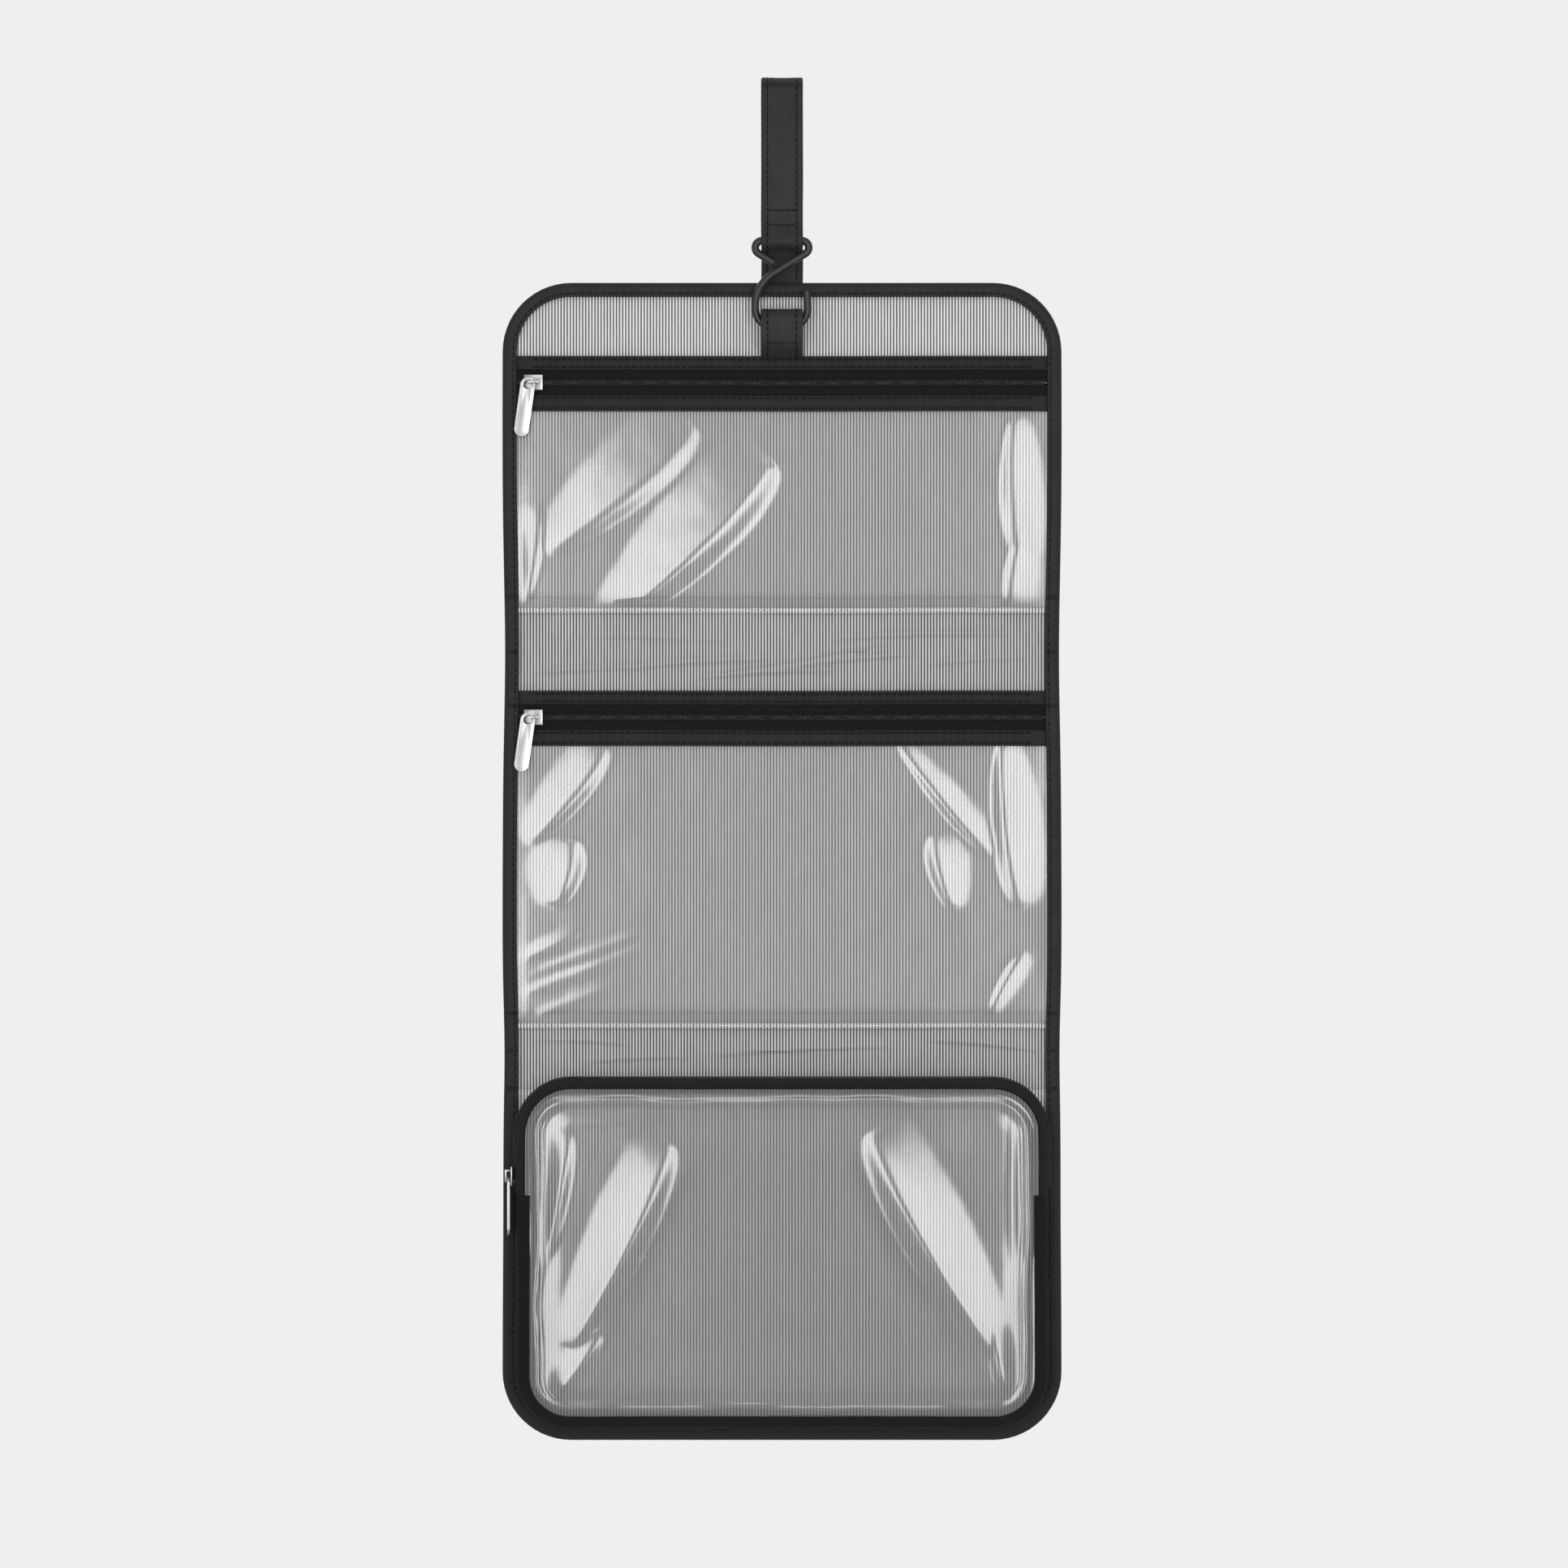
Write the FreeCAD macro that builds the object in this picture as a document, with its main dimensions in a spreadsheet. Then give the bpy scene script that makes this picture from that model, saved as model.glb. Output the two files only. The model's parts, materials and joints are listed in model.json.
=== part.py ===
import FreeCAD, Part
import Sketcher
import math
import os

# Hanging toiletry bag: a flat upper panel that hangs from a strap and hook, a middle panel and a
# box pouch, joined by two soft fold strips. Millimetres; +Z up, +Y back, the front faces -Y.
# The origin is the centre of the rail that the hanging strap is looped over.

SIZES = {
    "bag_width": 254.0,            # over the bindings
    "corner_radius": 31.0,         # outer corners, top and bottom
    "hang_drop": 86.6,             # rail centre to the bag's top edge
    "flap_height": 33.4,           # top edge to the upper zip band
    "upper_window_height": 89.0,
    "upper_fold_length": 35.1,
    "middle_window_height": 125.7,
    "lower_fold_length": 20.0,
    "pouch_height": 167.0,
    "pouch_depth": 18.0,           # binding's front face to the back of the pouch window
    "shell_thickness": 0.5,
    "foam_thickness": 1.0,
    "lining_thickness": 0.5,
    "binding_width": 6.6,
    "binding_thickness": 0.6,
    "binding_proud": 0.2,          # binding in front of the zip facings
    "pocket_gap": 1.1,             # lining to the zip tape, room for the slider's back wing
    "tape_thickness": 0.5,
    "coil_height": 1.3,
    "coil_row": 1.2,
    "zip_slot": 0.7,               # between the two rows, where the slider's post runs
    "facing_thickness": 0.6,
    "facing_top_height": 6.5,
    "facing_bottom_height": 7.5,
    "tape_showing": 11.2,
    "tape_under_facing": 3.5,
    "hem_height": 2.8,
    "window_thickness": 0.4,
    "hang_radius": 5.0,            # inside radius of the strap's top fold
    "strap_width": 19.0,
    "strap_thickness": 1.4,
    "strap_foot": 28.0,            # strap sewn down the back below the top edge
    "strap_turn_up": 14.0,         # strap end folded up behind the front leg
    "bar_drop": 68.2,              # rail centre to the hook's bar
    "wire_diameter": 3.5,
    "wire_play": 0.3,
    "hook_corner_room": 0.5,       # the bar is straight to this far inside the strap's edge
    "hook_waist_drop": 12.4,       # bar to the crossing of the two arms
    "ring_side_room": 0.95,         # anchor loop's edge to the inside of the ring
    "ring_drop": 27.0,             # bar to the ring's centre
    "anchor_width": 19.0,
    "anchor_drop": 12.4,           # top edge to the anchor loop's fold
    "anchor_slack": 1.85,          # hook wire to the anchor loop, front and back
    "slider_length": 8.6,
    "slider_width": 7.0,
    "wing_thickness": 0.8,
    "slider_play": 0.2,
    "post_thickness": 0.4,
    "slider_inset": 7.5,           # binding's inner edge to the middle of a parked slider
    "bail_leg": 1.0,
    "bail_span": 4.6,              # between the bail's two legs
    "bail_room": 1.9,              # under the bail's bar
    "bail_bar": 0.9,
    "pull_length": 27.0,
    "pull_width": 6.7,
    "pull_thickness": 1.1,
    "eye_diameter": 4.0,
    "eye_play": 0.3,               # bail leg to the top of the pull's eye
    "pull_tilt": 8.0,              # degrees that a parked pull leans outwards
    "pouch_top_gap": 2.2,          # fold line to the pouch's top wall
    "pouch_corner": 24.4,          # outside corner radius of the pouch's walls
    "wall_thickness": 0.8,
    "gusset_lining_thickness": 0.4,
    "zip_strip_width": 4.0,        # plain strip between the binding's front and the pouch zip
    "pouch_tape_half": 5.0,
    "wall_turn_depth": 13.0,       # where the pouch's wall turns in towards the window
    "window_inset": 6.5,           # wall to window edge, seen from the front
    "pouch_zip_drop": 52.0,        # pouch top to the end of its zip, down each side
    "pouch_slider_drop": 43.8,     # pouch top to the middle of the parked slider
}

doc = FreeCAD.newDocument("HangingToiletryBag")
sheet = doc.addObject("Spreadsheet::Sheet", "Sizes")
for row, (alias, number) in enumerate(SIZES.items(), start=1):
    sheet.set("A%d" % row, alias)
    sheet.set("B%d" % row, str(number))
    sheet.setAlias("B%d" % row, alias)
doc.recompute()


class Size:
    """A length in millimetres together with the sheet expression that gives it."""

    def __init__(self, value, text):
        self.value = float(value)
        self.text = text

    def __add__(self, other):
        other = as_size(other)
        return Size(self.value + other.value, "(%s + %s)" % (self.text, other.text))

    def __sub__(self, other):
        other = as_size(other)
        return Size(self.value - other.value, "(%s - %s)" % (self.text, other.text))

    def __mul__(self, factor):
        return Size(self.value * factor, "(%s * %s)" % (self.text, factor))

    def __truediv__(self, divisor):
        return Size(self.value / divisor, "(%s / %s)" % (self.text, divisor))

    def __neg__(self):
        return Size(-self.value, "(0 - %s)" % self.text)


def as_size(number):
    """The size itself, or a plain number as a size."""
    return number if isinstance(number, Size) else Size(number, "(%s)" % float(number))


def cell(alias):
    """A driving size of the sheet."""
    return Size(getattr(sheet, alias), "Sizes." + alias)


def bind(thing, **properties):
    """Bind properties of an object to sheet expressions."""
    for name, size in properties.items():
        thing.setExpression(name, as_size(size).text)


def place(thing, x=0.0, y=0.0, z=0.0):
    """Bind an object's position to sheet expressions."""
    for axis, size in (("x", x), ("y", y), ("z", z)):
        thing.setExpression("Placement.Base." + axis, as_size(size).text)


def turned(thing, axis, degrees):
    """Set an object's rotation, before its position is bound."""
    thing.Placement = FreeCAD.Placement(FreeCAD.Vector(), FreeCAD.Rotation(axis, degrees))


X_AXIS, Y_AXIS = FreeCAD.Vector(1, 0, 0), FreeCAD.Vector(0, 1, 0)
PARTS = {}


def keep(label, thing):
    """Name a finished sub-part, which is then written to its own file."""
    thing.Label = label
    PARTS[label] = thing
    return thing


def box(name, x, y, z):
    """A box between low and high sizes along each axis."""
    solid = doc.addObject("Part::Box", name)
    bind(solid, Length=x[1] - x[0], Width=y[1] - y[0], Height=z[1] - z[0])
    place(solid, x[0], y[0], z[0])
    return solid


def cylinder(name, axis, radius, length, x, y, z):
    """A round bar from a point along +X or along -Y."""
    solid = doc.addObject("Part::Cylinder", name)
    turned(solid, Y_AXIS if axis == "x" else X_AXIS, 90)
    bind(solid, Radius=radius, Height=length)
    place(solid, x, y, z)
    return solid


def join(name, pieces):
    """One solid from several."""
    fused = doc.addObject("Part::MultiFuse", name)
    fused.Shapes = pieces
    fused.Refine = True
    return fused


def cut(name, base, tool):
    """The base without the tool."""
    result = doc.addObject("Part::Cut", name)
    result.Base, result.Tool = base, tool
    return result


def common(name, base, tool):
    """What the base and the tool share."""
    result = doc.addObject("Part::Common", name)
    result.Base, result.Tool = base, tool
    return result


def outline_sketch(body, name, half_width, low, high, radii):
    """A rectangle about X = 0 on the body's XZ plane, its four corners rounded or square.

    radii holds a size or None for the lower right, upper right, upper left and lower left corners."""
    plane = [p for p in body.Origin.OriginFeatures if p.Role == "XZ_Plane"][0]
    sketch = body.newObject("Sketcher::SketchObject", name)
    sketch.AttachmentSupport = [(plane, "")]
    sketch.MapMode = "FlatFace"
    wide, bottom, top = half_width.value, low.value, high.value
    corners = [(wide, bottom), (wide, top), (-wide, top), (-wide, bottom)]
    inward = [(-1, 1), (-1, -1), (1, -1), (1, 1)]
    first_angle = [-90, 0, 90, 180]
    starts, ends, arcs = [], [], []
    for corner, way, angle, radius in zip(corners, inward, first_angle, radii):
        r = radius.value if radius else 0.0
        centre = FreeCAD.Vector(corner[0] + way[0] * r, corner[1] + way[1] * r, 0)
        arrive, leave = math.radians(angle), math.radians(angle + 90)
        ends.append(centre + FreeCAD.Vector(r * math.cos(arrive), r * math.sin(arrive), 0))
        starts.append(centre + FreeCAD.Vector(r * math.cos(leave), r * math.sin(leave), 0))
        arcs.append((centre, r, arrive, leave) if radius else None)
    lines = []
    for side in range(4):
        segment = Part.LineSegment(starts[side - 1], ends[side])
        lines.append(sketch.addGeometry(segment, False))
    for side in (0, 2):
        sketch.addConstraint(Sketcher.Constraint("Horizontal", lines[side]))
    for side in (1, 3):
        sketch.addConstraint(Sketcher.Constraint("Vertical", lines[side]))
    for side in range(4):
        after = lines[(side + 1) % 4]
        if arcs[side] is None:
            sketch.addConstraint(Sketcher.Constraint("Coincident", lines[side], 2, after, 1))
            continue
        centre, r, arrive, leave = arcs[side]
        circle = Part.Circle(centre, FreeCAD.Vector(0, 0, 1), r)
        arc = sketch.addGeometry(Part.ArcOfCircle(circle, arrive, leave), False)
        sketch.addConstraint(Sketcher.Constraint("Tangent", lines[side], 2, arc, 1))
        sketch.addConstraint(Sketcher.Constraint("Tangent", arc, 2, after, 1))
        limit = sketch.addConstraint(Sketcher.Constraint("Radius", arc, r))
        sketch.setExpression("Constraints[%d]" % limit, radii[side].text)
    for side, way, size in ((1, "DistanceX", half_width), (3, "DistanceX", -half_width),
                            (0, "DistanceY", low), (2, "DistanceY", high)):
        limit = sketch.addConstraint(Sketcher.Constraint(way, -1, 1, lines[side], 1, size.value))
        sketch.setExpression("Constraints[%d]" % limit, size.text)
    return sketch


def sheet_body(name, half_width, low, high, front, back, radii, taper=None):
    """A flat sheet cut to an outline, from its back face at Y = back forwards to Y = front."""
    body = doc.addObject("PartDesign::Body", name)
    sketch = outline_sketch(body, name + "_outline", half_width, low, high, radii)
    pad = body.newObject("PartDesign::Pad", name + "_pad")
    pad.Profile = sketch
    bind(pad, Length=back - front)
    if taper:
        pad.setExpression("TaperAngle", "-1 * atan(%s / %s)" % (taper.text, (back - front).text))
    place(body, y=back)
    return body


# ---- places that several pieces share ------------------------------------------------------
half = cell("bag_width") / 2
binding = cell("binding_thickness")
half_sheet = half - binding
half_open = half - cell("binding_width")
corner = cell("corner_radius")
corner_sheet = corner - binding
corner_open = corner - cell("binding_width")

strap_back = cell("hang_radius")                   # back of the bindings, where the strap lies
shell_back = strap_back - binding
shell_front = shell_back - cell("shell_thickness")
foam_front = shell_front - cell("foam_thickness")
lining_front = foam_front - cell("lining_thickness")
tape_back = lining_front - cell("pocket_gap")
tape_front = tape_back - cell("tape_thickness")
facing_front = tape_front - cell("facing_thickness")
coil_front = tape_front - cell("coil_height")
binding_front = facing_front - cell("binding_proud")

upper_top = -cell("hang_drop")
upper_band_top = upper_top - cell("flap_height")
band_height = cell("facing_top_height") + cell("tape_showing") + cell("facing_bottom_height")
upper_window_bottom = upper_band_top - band_height - cell("upper_window_height")
upper_bottom = upper_window_bottom - cell("hem_height")
middle_top = upper_bottom - cell("upper_fold_length")
middle_window_bottom = middle_top - band_height - cell("middle_window_height")
middle_bottom = middle_window_bottom - cell("hem_height")
pouch_top = middle_bottom - cell("lower_fold_length")
pouch_bottom = pouch_top - cell("pouch_height")


def sheet_radii(radius, end):
    """Corner radii of a panel that is rounded at its top, at its bottom or nowhere."""
    if end == "top":
        return [None, radius, radius, None]
    if end == "bottom":
        return [radius, None, None, radius]
    return [None, None, None, None]


def layers(panel, low, high, end, padded=True):
    """The flat layers of a panel: outer shell, foam where it is padded, and striped lining."""
    edge_low = low + binding if end == "bottom" else low
    edge_high = high - binding if end == "top" else high
    radii = sheet_radii(corner_sheet, end)
    layer = (half_sheet, edge_low, edge_high)
    keep(panel + "_shell", sheet_body(panel + "_shell", *layer, shell_front, shell_back, radii))
    if padded:
        keep(panel + "_foam", sheet_body(panel + "_foam", *layer, foam_front, shell_front, radii))
    keep(panel + "_lining", sheet_body(panel + "_lining", *layer, lining_front, foam_front, radii))


def edge_binding(panel, low, high, end):
    """The tape folded round a panel's edges: a channel that holds the layers at its bottom.

    A panel with a rounded end has one tape all the way round; the others have one down each side."""
    name = panel + "_binding"
    inner_low = low + cell("binding_width") if end == "bottom" else low
    inner_high = high - cell("binding_width") if end == "top" else high
    edge_low = low + binding if end == "bottom" else low
    edge_high = high - binding if end == "top" else high
    whole = sheet_body(name + "_whole", half, low, high, binding_front, strap_back,
                       sheet_radii(corner, end))
    groove = sheet_body(name + "_groove", half_sheet, edge_low, edge_high, lining_front, shell_back,
                        sheet_radii(corner_sheet, end))
    opening = sheet_body(name + "_opening", half_open, inner_low, inner_high, binding_front - 1,
                         strap_back + 1, sheet_radii(corner_open, end))
    channel = cut(name, whole, join(name + "_space", [groove, opening]))
    if end:
        keep(name, channel)
        return
    for side, across in (("_left", (-half - 1, as_size(0))), ("_right", (as_size(0), half + 1))):
        space = box(name + side + "_space", across, (binding_front - 1, strap_back + 1), (low, high))
        keep(name + side, common(name + side, channel, space))


def flat_zip(panel, band_top):
    """A pocket's zip between its two nylon facings, and where its coil lies."""
    across = (-half_open, half_open)
    top_facing_low = band_top - cell("facing_top_height")
    low_facing_high = top_facing_low - cell("tape_showing")
    band_low = low_facing_high - cell("facing_bottom_height")
    middle = top_facing_low - cell("tape_showing") / 2
    slot = cell("zip_slot") / 2
    row = cell("coil_row")
    tuck = cell("tape_under_facing")
    keep(panel + "_zip_facing_top", box(panel + "_zip_facing_top", across,
                                        (facing_front, tape_front), (top_facing_low, band_top)))
    keep(panel + "_zip_facing_bottom", box(panel + "_zip_facing_bottom", across,
                                           (facing_front, tape_front), (band_low, low_facing_high)))
    keep(panel + "_zip_tape_top", box(panel + "_zip_tape_top", across, (tape_front, tape_back),
                                      (middle + slot, top_facing_low + tuck)))
    keep(panel + "_zip_tape_bottom", box(panel + "_zip_tape_bottom", across,
                                         (tape_front, tape_back),
                                         (low_facing_high - tuck, middle - slot)))
    keep(panel + "_zip_coil_top", box(panel + "_zip_coil_top", across, (coil_front, tape_front),
                                      (middle + slot, middle + slot + row)))
    keep(panel + "_zip_coil_bottom", box(panel + "_zip_coil_bottom", across,
                                         (coil_front, tape_front),
                                         (middle - slot - row, middle - slot)))
    return middle, low_facing_high - tuck


def window_and_hem(panel, window_top, window_low):
    """The clear pocket front, and the folded hem that its lower edge is sewn under."""
    across = (-half_open, half_open)
    window_back = tape_front + cell("window_thickness")
    keep(panel + "_window", box(panel + "_window", across, (tape_front, window_back),
                                (window_low, window_top)))
    keep(panel + "_pocket_hem", box(panel + "_pocket_hem", across, (facing_front, lining_front),
                                    (window_low - cell("hem_height"), window_low)))


def slider_set(panel, middle_x, middle_z):
    """A flat zip's slider with its bail, and the pull that hangs on the bail's outer leg."""
    long_half = cell("slider_length") / 2
    wide_half = cell("slider_width") / 2
    play, wing = cell("slider_play"), cell("wing_thickness")
    top_low = coil_front - play
    along = (middle_x - long_half, middle_x + long_half)
    up = (middle_z - wide_half, middle_z + wide_half)
    nose = along[0] + long_half * 0.7
    thin = cell("post_thickness") / 2
    name = panel + "_slider"
    front_wing = box(name + "_front_wing", along, (top_low - wing, top_low), up)
    back_wing = box(name + "_back_wing", along, (tape_back + play, tape_back + play + wing * 0.85), up)
    post = box(name + "_post", (along[0], nose), (top_low, tape_back + play),
               (middle_z - thin, middle_z + thin))
    keep(name + "_body", join(name + "_body", [front_wing, back_wing, post]))

    leg, span, room = cell("bail_leg"), cell("bail_span"), cell("bail_room")
    face = top_low - wing
    left = (middle_x - span / 2 - leg / 2, middle_x - span / 2 + leg / 2)
    right = (middle_x + span / 2 - leg / 2, middle_x + span / 2 + leg / 2)
    thick = (middle_z - leg / 2, middle_z + leg / 2)
    legs = [box(name + "_bail_leg_a", left, (face - room, face), thick),
            box(name + "_bail_leg_b", right, (face - room, face), thick)]
    bar = box(name + "_bail_bar", (left[0], right[1]), (face - room - cell("bail_bar"), face - room),
              thick)
    keep(name + "_bail", join(name + "_bail", legs + [bar]))

    pull_back = face - (room - cell("pull_thickness")) / 2
    pull = pull_tab(panel + "_pull_tab")
    pull.Placement = FreeCAD.Placement(FreeCAD.Vector(), FreeCAD.Rotation(Y_AXIS, SIZES["pull_tilt"]))
    place(pull, middle_x - span / 2, pull_back, middle_z)
    keep(panel + "_pull_tab", pull)


def pull_tab(name):
    """A flat metal pull that hangs from an eye at its own origin, its back face at Y = 0."""
    width, thick = cell("pull_width"), cell("pull_thickness")
    eye = cell("eye_diameter") / 2
    drop = eye - cell("bail_leg") / 2 - cell("eye_play")
    low = drop + cell("pull_length") - width
    plate = box(name + "_plate", (-width / 2, width / 2), (-thick, as_size(0)), (-low, -drop))
    ends = [cylinder(name + "_top", "y", width / 2, thick, 0, 0, -drop),
            cylinder(name + "_tip", "y", width / 2, thick, 0, 0, -low)]
    hole = cylinder(name + "_hole", "y", eye, thick + 2, 0, 1, -drop)
    return cut(name, join(name + "_blank", [plate] + ends), hole)


# ---- upper panel ------------------------------------------------------------------------------
layers("upper", upper_bottom, upper_top, "top")
edge_binding("upper", upper_bottom, upper_top, "top")
upper_zip_z, upper_window_top = flat_zip("upper", upper_band_top)
window_and_hem("upper", upper_window_top, upper_window_bottom)
slider_x = cell("slider_inset") - half_open
slider_set("upper", slider_x, upper_zip_z)

# ---- middle panel -----------------------------------------------------------------------------
layers("middle", middle_bottom, middle_top, None)
edge_binding("middle", middle_bottom, middle_top, None)
middle_zip_z, middle_window_top = flat_zip("middle", middle_top)
window_and_hem("middle", middle_window_top, middle_window_bottom)
slider_set("middle", slider_x, middle_zip_z)

# ---- fold strips: shell, lining and bindings, with no foam between ----------------------------
layers("upper_fold", middle_top, upper_bottom, None, padded=False)
edge_binding("upper_fold", middle_top, upper_bottom, None)
layers("lower_fold", pouch_top, middle_bottom, None, padded=False)
edge_binding("lower_fold", pouch_top, middle_bottom, None)

# ---- pouch: back panel, then its walls, zip and clear front -----------------------------------
layers("pouch", pouch_bottom, pouch_top, "bottom")
edge_binding("pouch", pouch_bottom, pouch_top, "bottom")

wall_high = pouch_top - cell("pouch_top_gap")
wall_low = pouch_bottom + cell("binding_width")
zip_end = wall_high - cell("pouch_zip_drop")
turn_front = -cell("wall_turn_depth")
window_back = -cell("pouch_depth")
slot_front = -(cell("zip_strip_width") + cell("pouch_tape_half"))
wall = cell("wall_thickness")
inset = cell("window_inset")


def wall_ring(name, outset, thickness, front, back):
    """A band of the pouch's straight wall, set out from the wall's outside and going inwards."""
    def filled(part_name, shift, low_y, high_y):
        radii = [cell("pouch_corner") + shift] * 4
        return sheet_body(part_name, half_open + shift, wall_low - shift, wall_high + shift,
                          low_y, high_y, radii)
    outer = filled(name + "_outer", as_size(outset), front, back)
    inner = filled(name + "_inner", as_size(outset) - thickness, front - 1, back + 1)
    return cut(name + "_ring", outer, inner)


def sloping_ring(name):
    """The last stretch of the wall, which leans in to meet the window's edge."""
    def filled(part_name, shift):
        radii = [cell("pouch_corner") - shift] * 4
        return sheet_body(part_name, half_open - shift, wall_low + shift, wall_high - shift,
                          window_back, turn_front, radii, taper=inset)
    return cut(name + "_slope", filled(name + "_slope_outer", as_size(0)),
               filled(name + "_slope_inner", wall * 1.6))


def zip_side(name, ring, above):
    """The part of a ring above the ends of the pouch's zip, or the part below them."""
    z = (zip_end, wall_high + 5) if above else (wall_low - 5, zip_end)
    side = box(name + "_side", (-half, half), (window_back - 5, strap_back), z)
    return common(name, ring, side)


def zip_band(name, outset, thickness, front, back):
    """One band of the wall along the pouch's zip."""
    return keep(name, zip_side(name, wall_ring(name, outset, thickness, front, back), True))


pouch_slot = cell("zip_slot") / 2
row = cell("coil_row")
coil_height = cell("coil_height")
low_wall = join("pouch_gusset_wall", [
    wall_ring("pouch_gusset", 0, wall, turn_front, lining_front), sloping_ring("pouch_gusset")])
keep("pouch_gusset", zip_side("pouch_gusset", low_wall, False))
zip_band("pouch_zip_strip", 0, wall, -cell("zip_strip_width"), lining_front)
zip_band("pouch_zip_tape_back", 0, wall, slot_front + pouch_slot, -cell("zip_strip_width"))
front_wall = join("pouch_zip_front_wall", [
    wall_ring("pouch_zip_tape_front", 0, wall, turn_front, slot_front - pouch_slot),
    sloping_ring("pouch_zip_tape_front")])
keep("pouch_zip_tape_front", zip_side("pouch_zip_tape_front", front_wall, True))
zip_band("pouch_zip_coil_back", coil_height, coil_height, slot_front + pouch_slot,
         slot_front + pouch_slot + row)
zip_band("pouch_zip_coil_front", coil_height, coil_height, slot_front - pouch_slot - row,
         slot_front - pouch_slot)
lining_ring = wall_ring("pouch_gusset_lining", -wall, cell("gusset_lining_thickness"),
                        -cell("zip_strip_width") - 0.5, lining_front)
keep("pouch_gusset_lining", lining_ring)
keep("pouch_window", sheet_body("pouch_window", half_open - inset, wall_low + inset,
                                wall_high - inset, window_back - cell("window_thickness"),
                                window_back, [cell("pouch_corner") - inset] * 4))


def pouch_slider():
    """The slider on the pouch's left wall, its nose down, with its bail and hanging pull."""
    middle_z = wall_high - cell("pouch_slider_drop")
    long_half, wide_half = cell("slider_length") / 2, cell("slider_width") / 2
    play, wing = cell("slider_play"), cell("wing_thickness")
    inner_face = wall + play - half_open
    outer_face = -(half_open + coil_height + play)
    up = (middle_z - long_half, middle_z + long_half)
    across = (slot_front - wide_half, slot_front + wide_half)
    thin = cell("post_thickness") / 2
    outer_wing = box("pouch_slider_outer_wing", (outer_face - wing, outer_face), across, up)
    inner_wing = box("pouch_slider_inner_wing", (inner_face, inner_face + wing * 0.85), across, up)
    post = box("pouch_slider_post", (outer_face, inner_face), (slot_front - thin, slot_front + thin),
               (up[0], up[0] + long_half * 0.7))
    keep("pouch_slider_body", join("pouch_slider_body", [outer_wing, inner_wing, post]))

    leg, span, room = cell("bail_leg"), cell("bail_span"), cell("bail_room")
    face = outer_face - wing
    low = (middle_z - span / 2 - leg / 2, middle_z - span / 2 + leg / 2)
    high = (middle_z + span / 2 - leg / 2, middle_z + span / 2 + leg / 2)
    thick = (slot_front - leg / 2, slot_front + leg / 2)
    legs = [box("pouch_bail_leg_a", (face - room, face), thick, low),
            box("pouch_bail_leg_b", (face - room, face), thick, high)]
    bar = box("pouch_bail_bar", (face - room - cell("bail_bar"), face - room), thick,
              (low[0], high[1]))
    keep("pouch_slider_bail", join("pouch_slider_bail", legs + [bar]))

    pull = pull_tab("pouch_pull_tab")
    pull.Placement = FreeCAD.Placement(FreeCAD.Vector(),
                                       FreeCAD.Rotation(FreeCAD.Vector(0, 0, 1), -90))
    place(pull, face - (room - cell("pull_thickness")) / 2, slot_front, middle_z - span / 2)
    keep("pouch_pull_tab", pull)


pouch_slider()

# ---- hanging strap, hook and the anchor loop that the hook closes into -------------------------
wire = cell("wire_diameter") / 2
hook_y = -cell("hang_radius")
bar_z = -cell("bar_drop")


def strap_loop():
    """The strap: sewn down the back, over the rail, down in front and round the hook's bar."""
    width, thick = cell("strap_width"), cell("strap_thickness")
    inside = cell("hang_radius")
    outside = inside + thick
    across = (-width / 2, width / 2)
    foot_z = upper_top - cell("strap_foot")
    fold = cut("strap_fold_tube", cylinder("strap_fold_outer", "x", outside, width, across[0], 0, 0),
               cylinder("strap_fold_inner", "x", inside, width, across[0], 0, 0))
    fold = common("strap_fold", fold, box("strap_fold_space", across, (-outside, outside),
                                          (as_size(0), outside + 1)))
    hole = wire + cell("wire_play")
    sleeve = cut("strap_sleeve",
                 cylinder("strap_sleeve_outer", "x", hole + thick, width, across[0], hook_y, bar_z),
                 cylinder("strap_sleeve_inner", "x", hole, width, across[0], hook_y, bar_z))
    above_bar = bar_z + hole + 0.25
    pieces = [
        fold, sleeve,
        box("strap_back_leg", across, (inside, outside), (foot_z, as_size(0))),
        box("strap_foot", across, (shell_back, inside), (foot_z, upper_top - cell("binding_width"))),
        box("strap_front_leg", across, (-outside, -inside), (above_bar, as_size(0))),
        box("strap_turn_up", across, (-inside, thick - inside),
            (above_bar, bar_z + cell("strap_turn_up")))]
    return join("hang_strap", pieces)


def anchor_loop():
    """A short strap loop on the upper zip band, standing off the panel so that the hook goes in."""
    width, thick = cell("anchor_width"), cell("strap_thickness")
    inside = wire + cell("anchor_slack")
    outside = inside + thick
    across = (-width / 2, width / 2)
    fold_z = upper_top - cell("anchor_drop") - outside
    leg_low = fold_z - outside * 1.6
    tube = cut("anchor_tube",
               cylinder("anchor_outer", "x", outside, width, across[0], hook_y, fold_z),
               cylinder("anchor_inner", "x", inside, width, across[0], hook_y, fold_z))
    fold = common("anchor_fold", tube, box("anchor_fold_space", across,
                                           (hook_y - outside, hook_y + outside),
                                           (fold_z, fold_z + outside + 1)))
    legs = [box("anchor_leg_front", across, (hook_y - outside, hook_y - inside), (leg_low, fold_z)),
            box("anchor_leg_back", across, (hook_y + inside, hook_y + outside), (leg_low, fold_z))]
    foot = doc.addObject("Part::Wedge", "anchor_foot")
    turned(foot, X_AXIS, -90)
    bind(foot, Xmin=0, Xmax=width, X2min=0, X2max=width, Ymin=0, Ymax=leg_low - upper_band_top,
         Zmin=hook_y - outside, Zmax=hook_y + outside, Z2min=tape_front, Z2max=lining_front)
    place(foot, across[0], 0, leg_low)
    return join("anchor_loop", [fold, foot] + legs)


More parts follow.
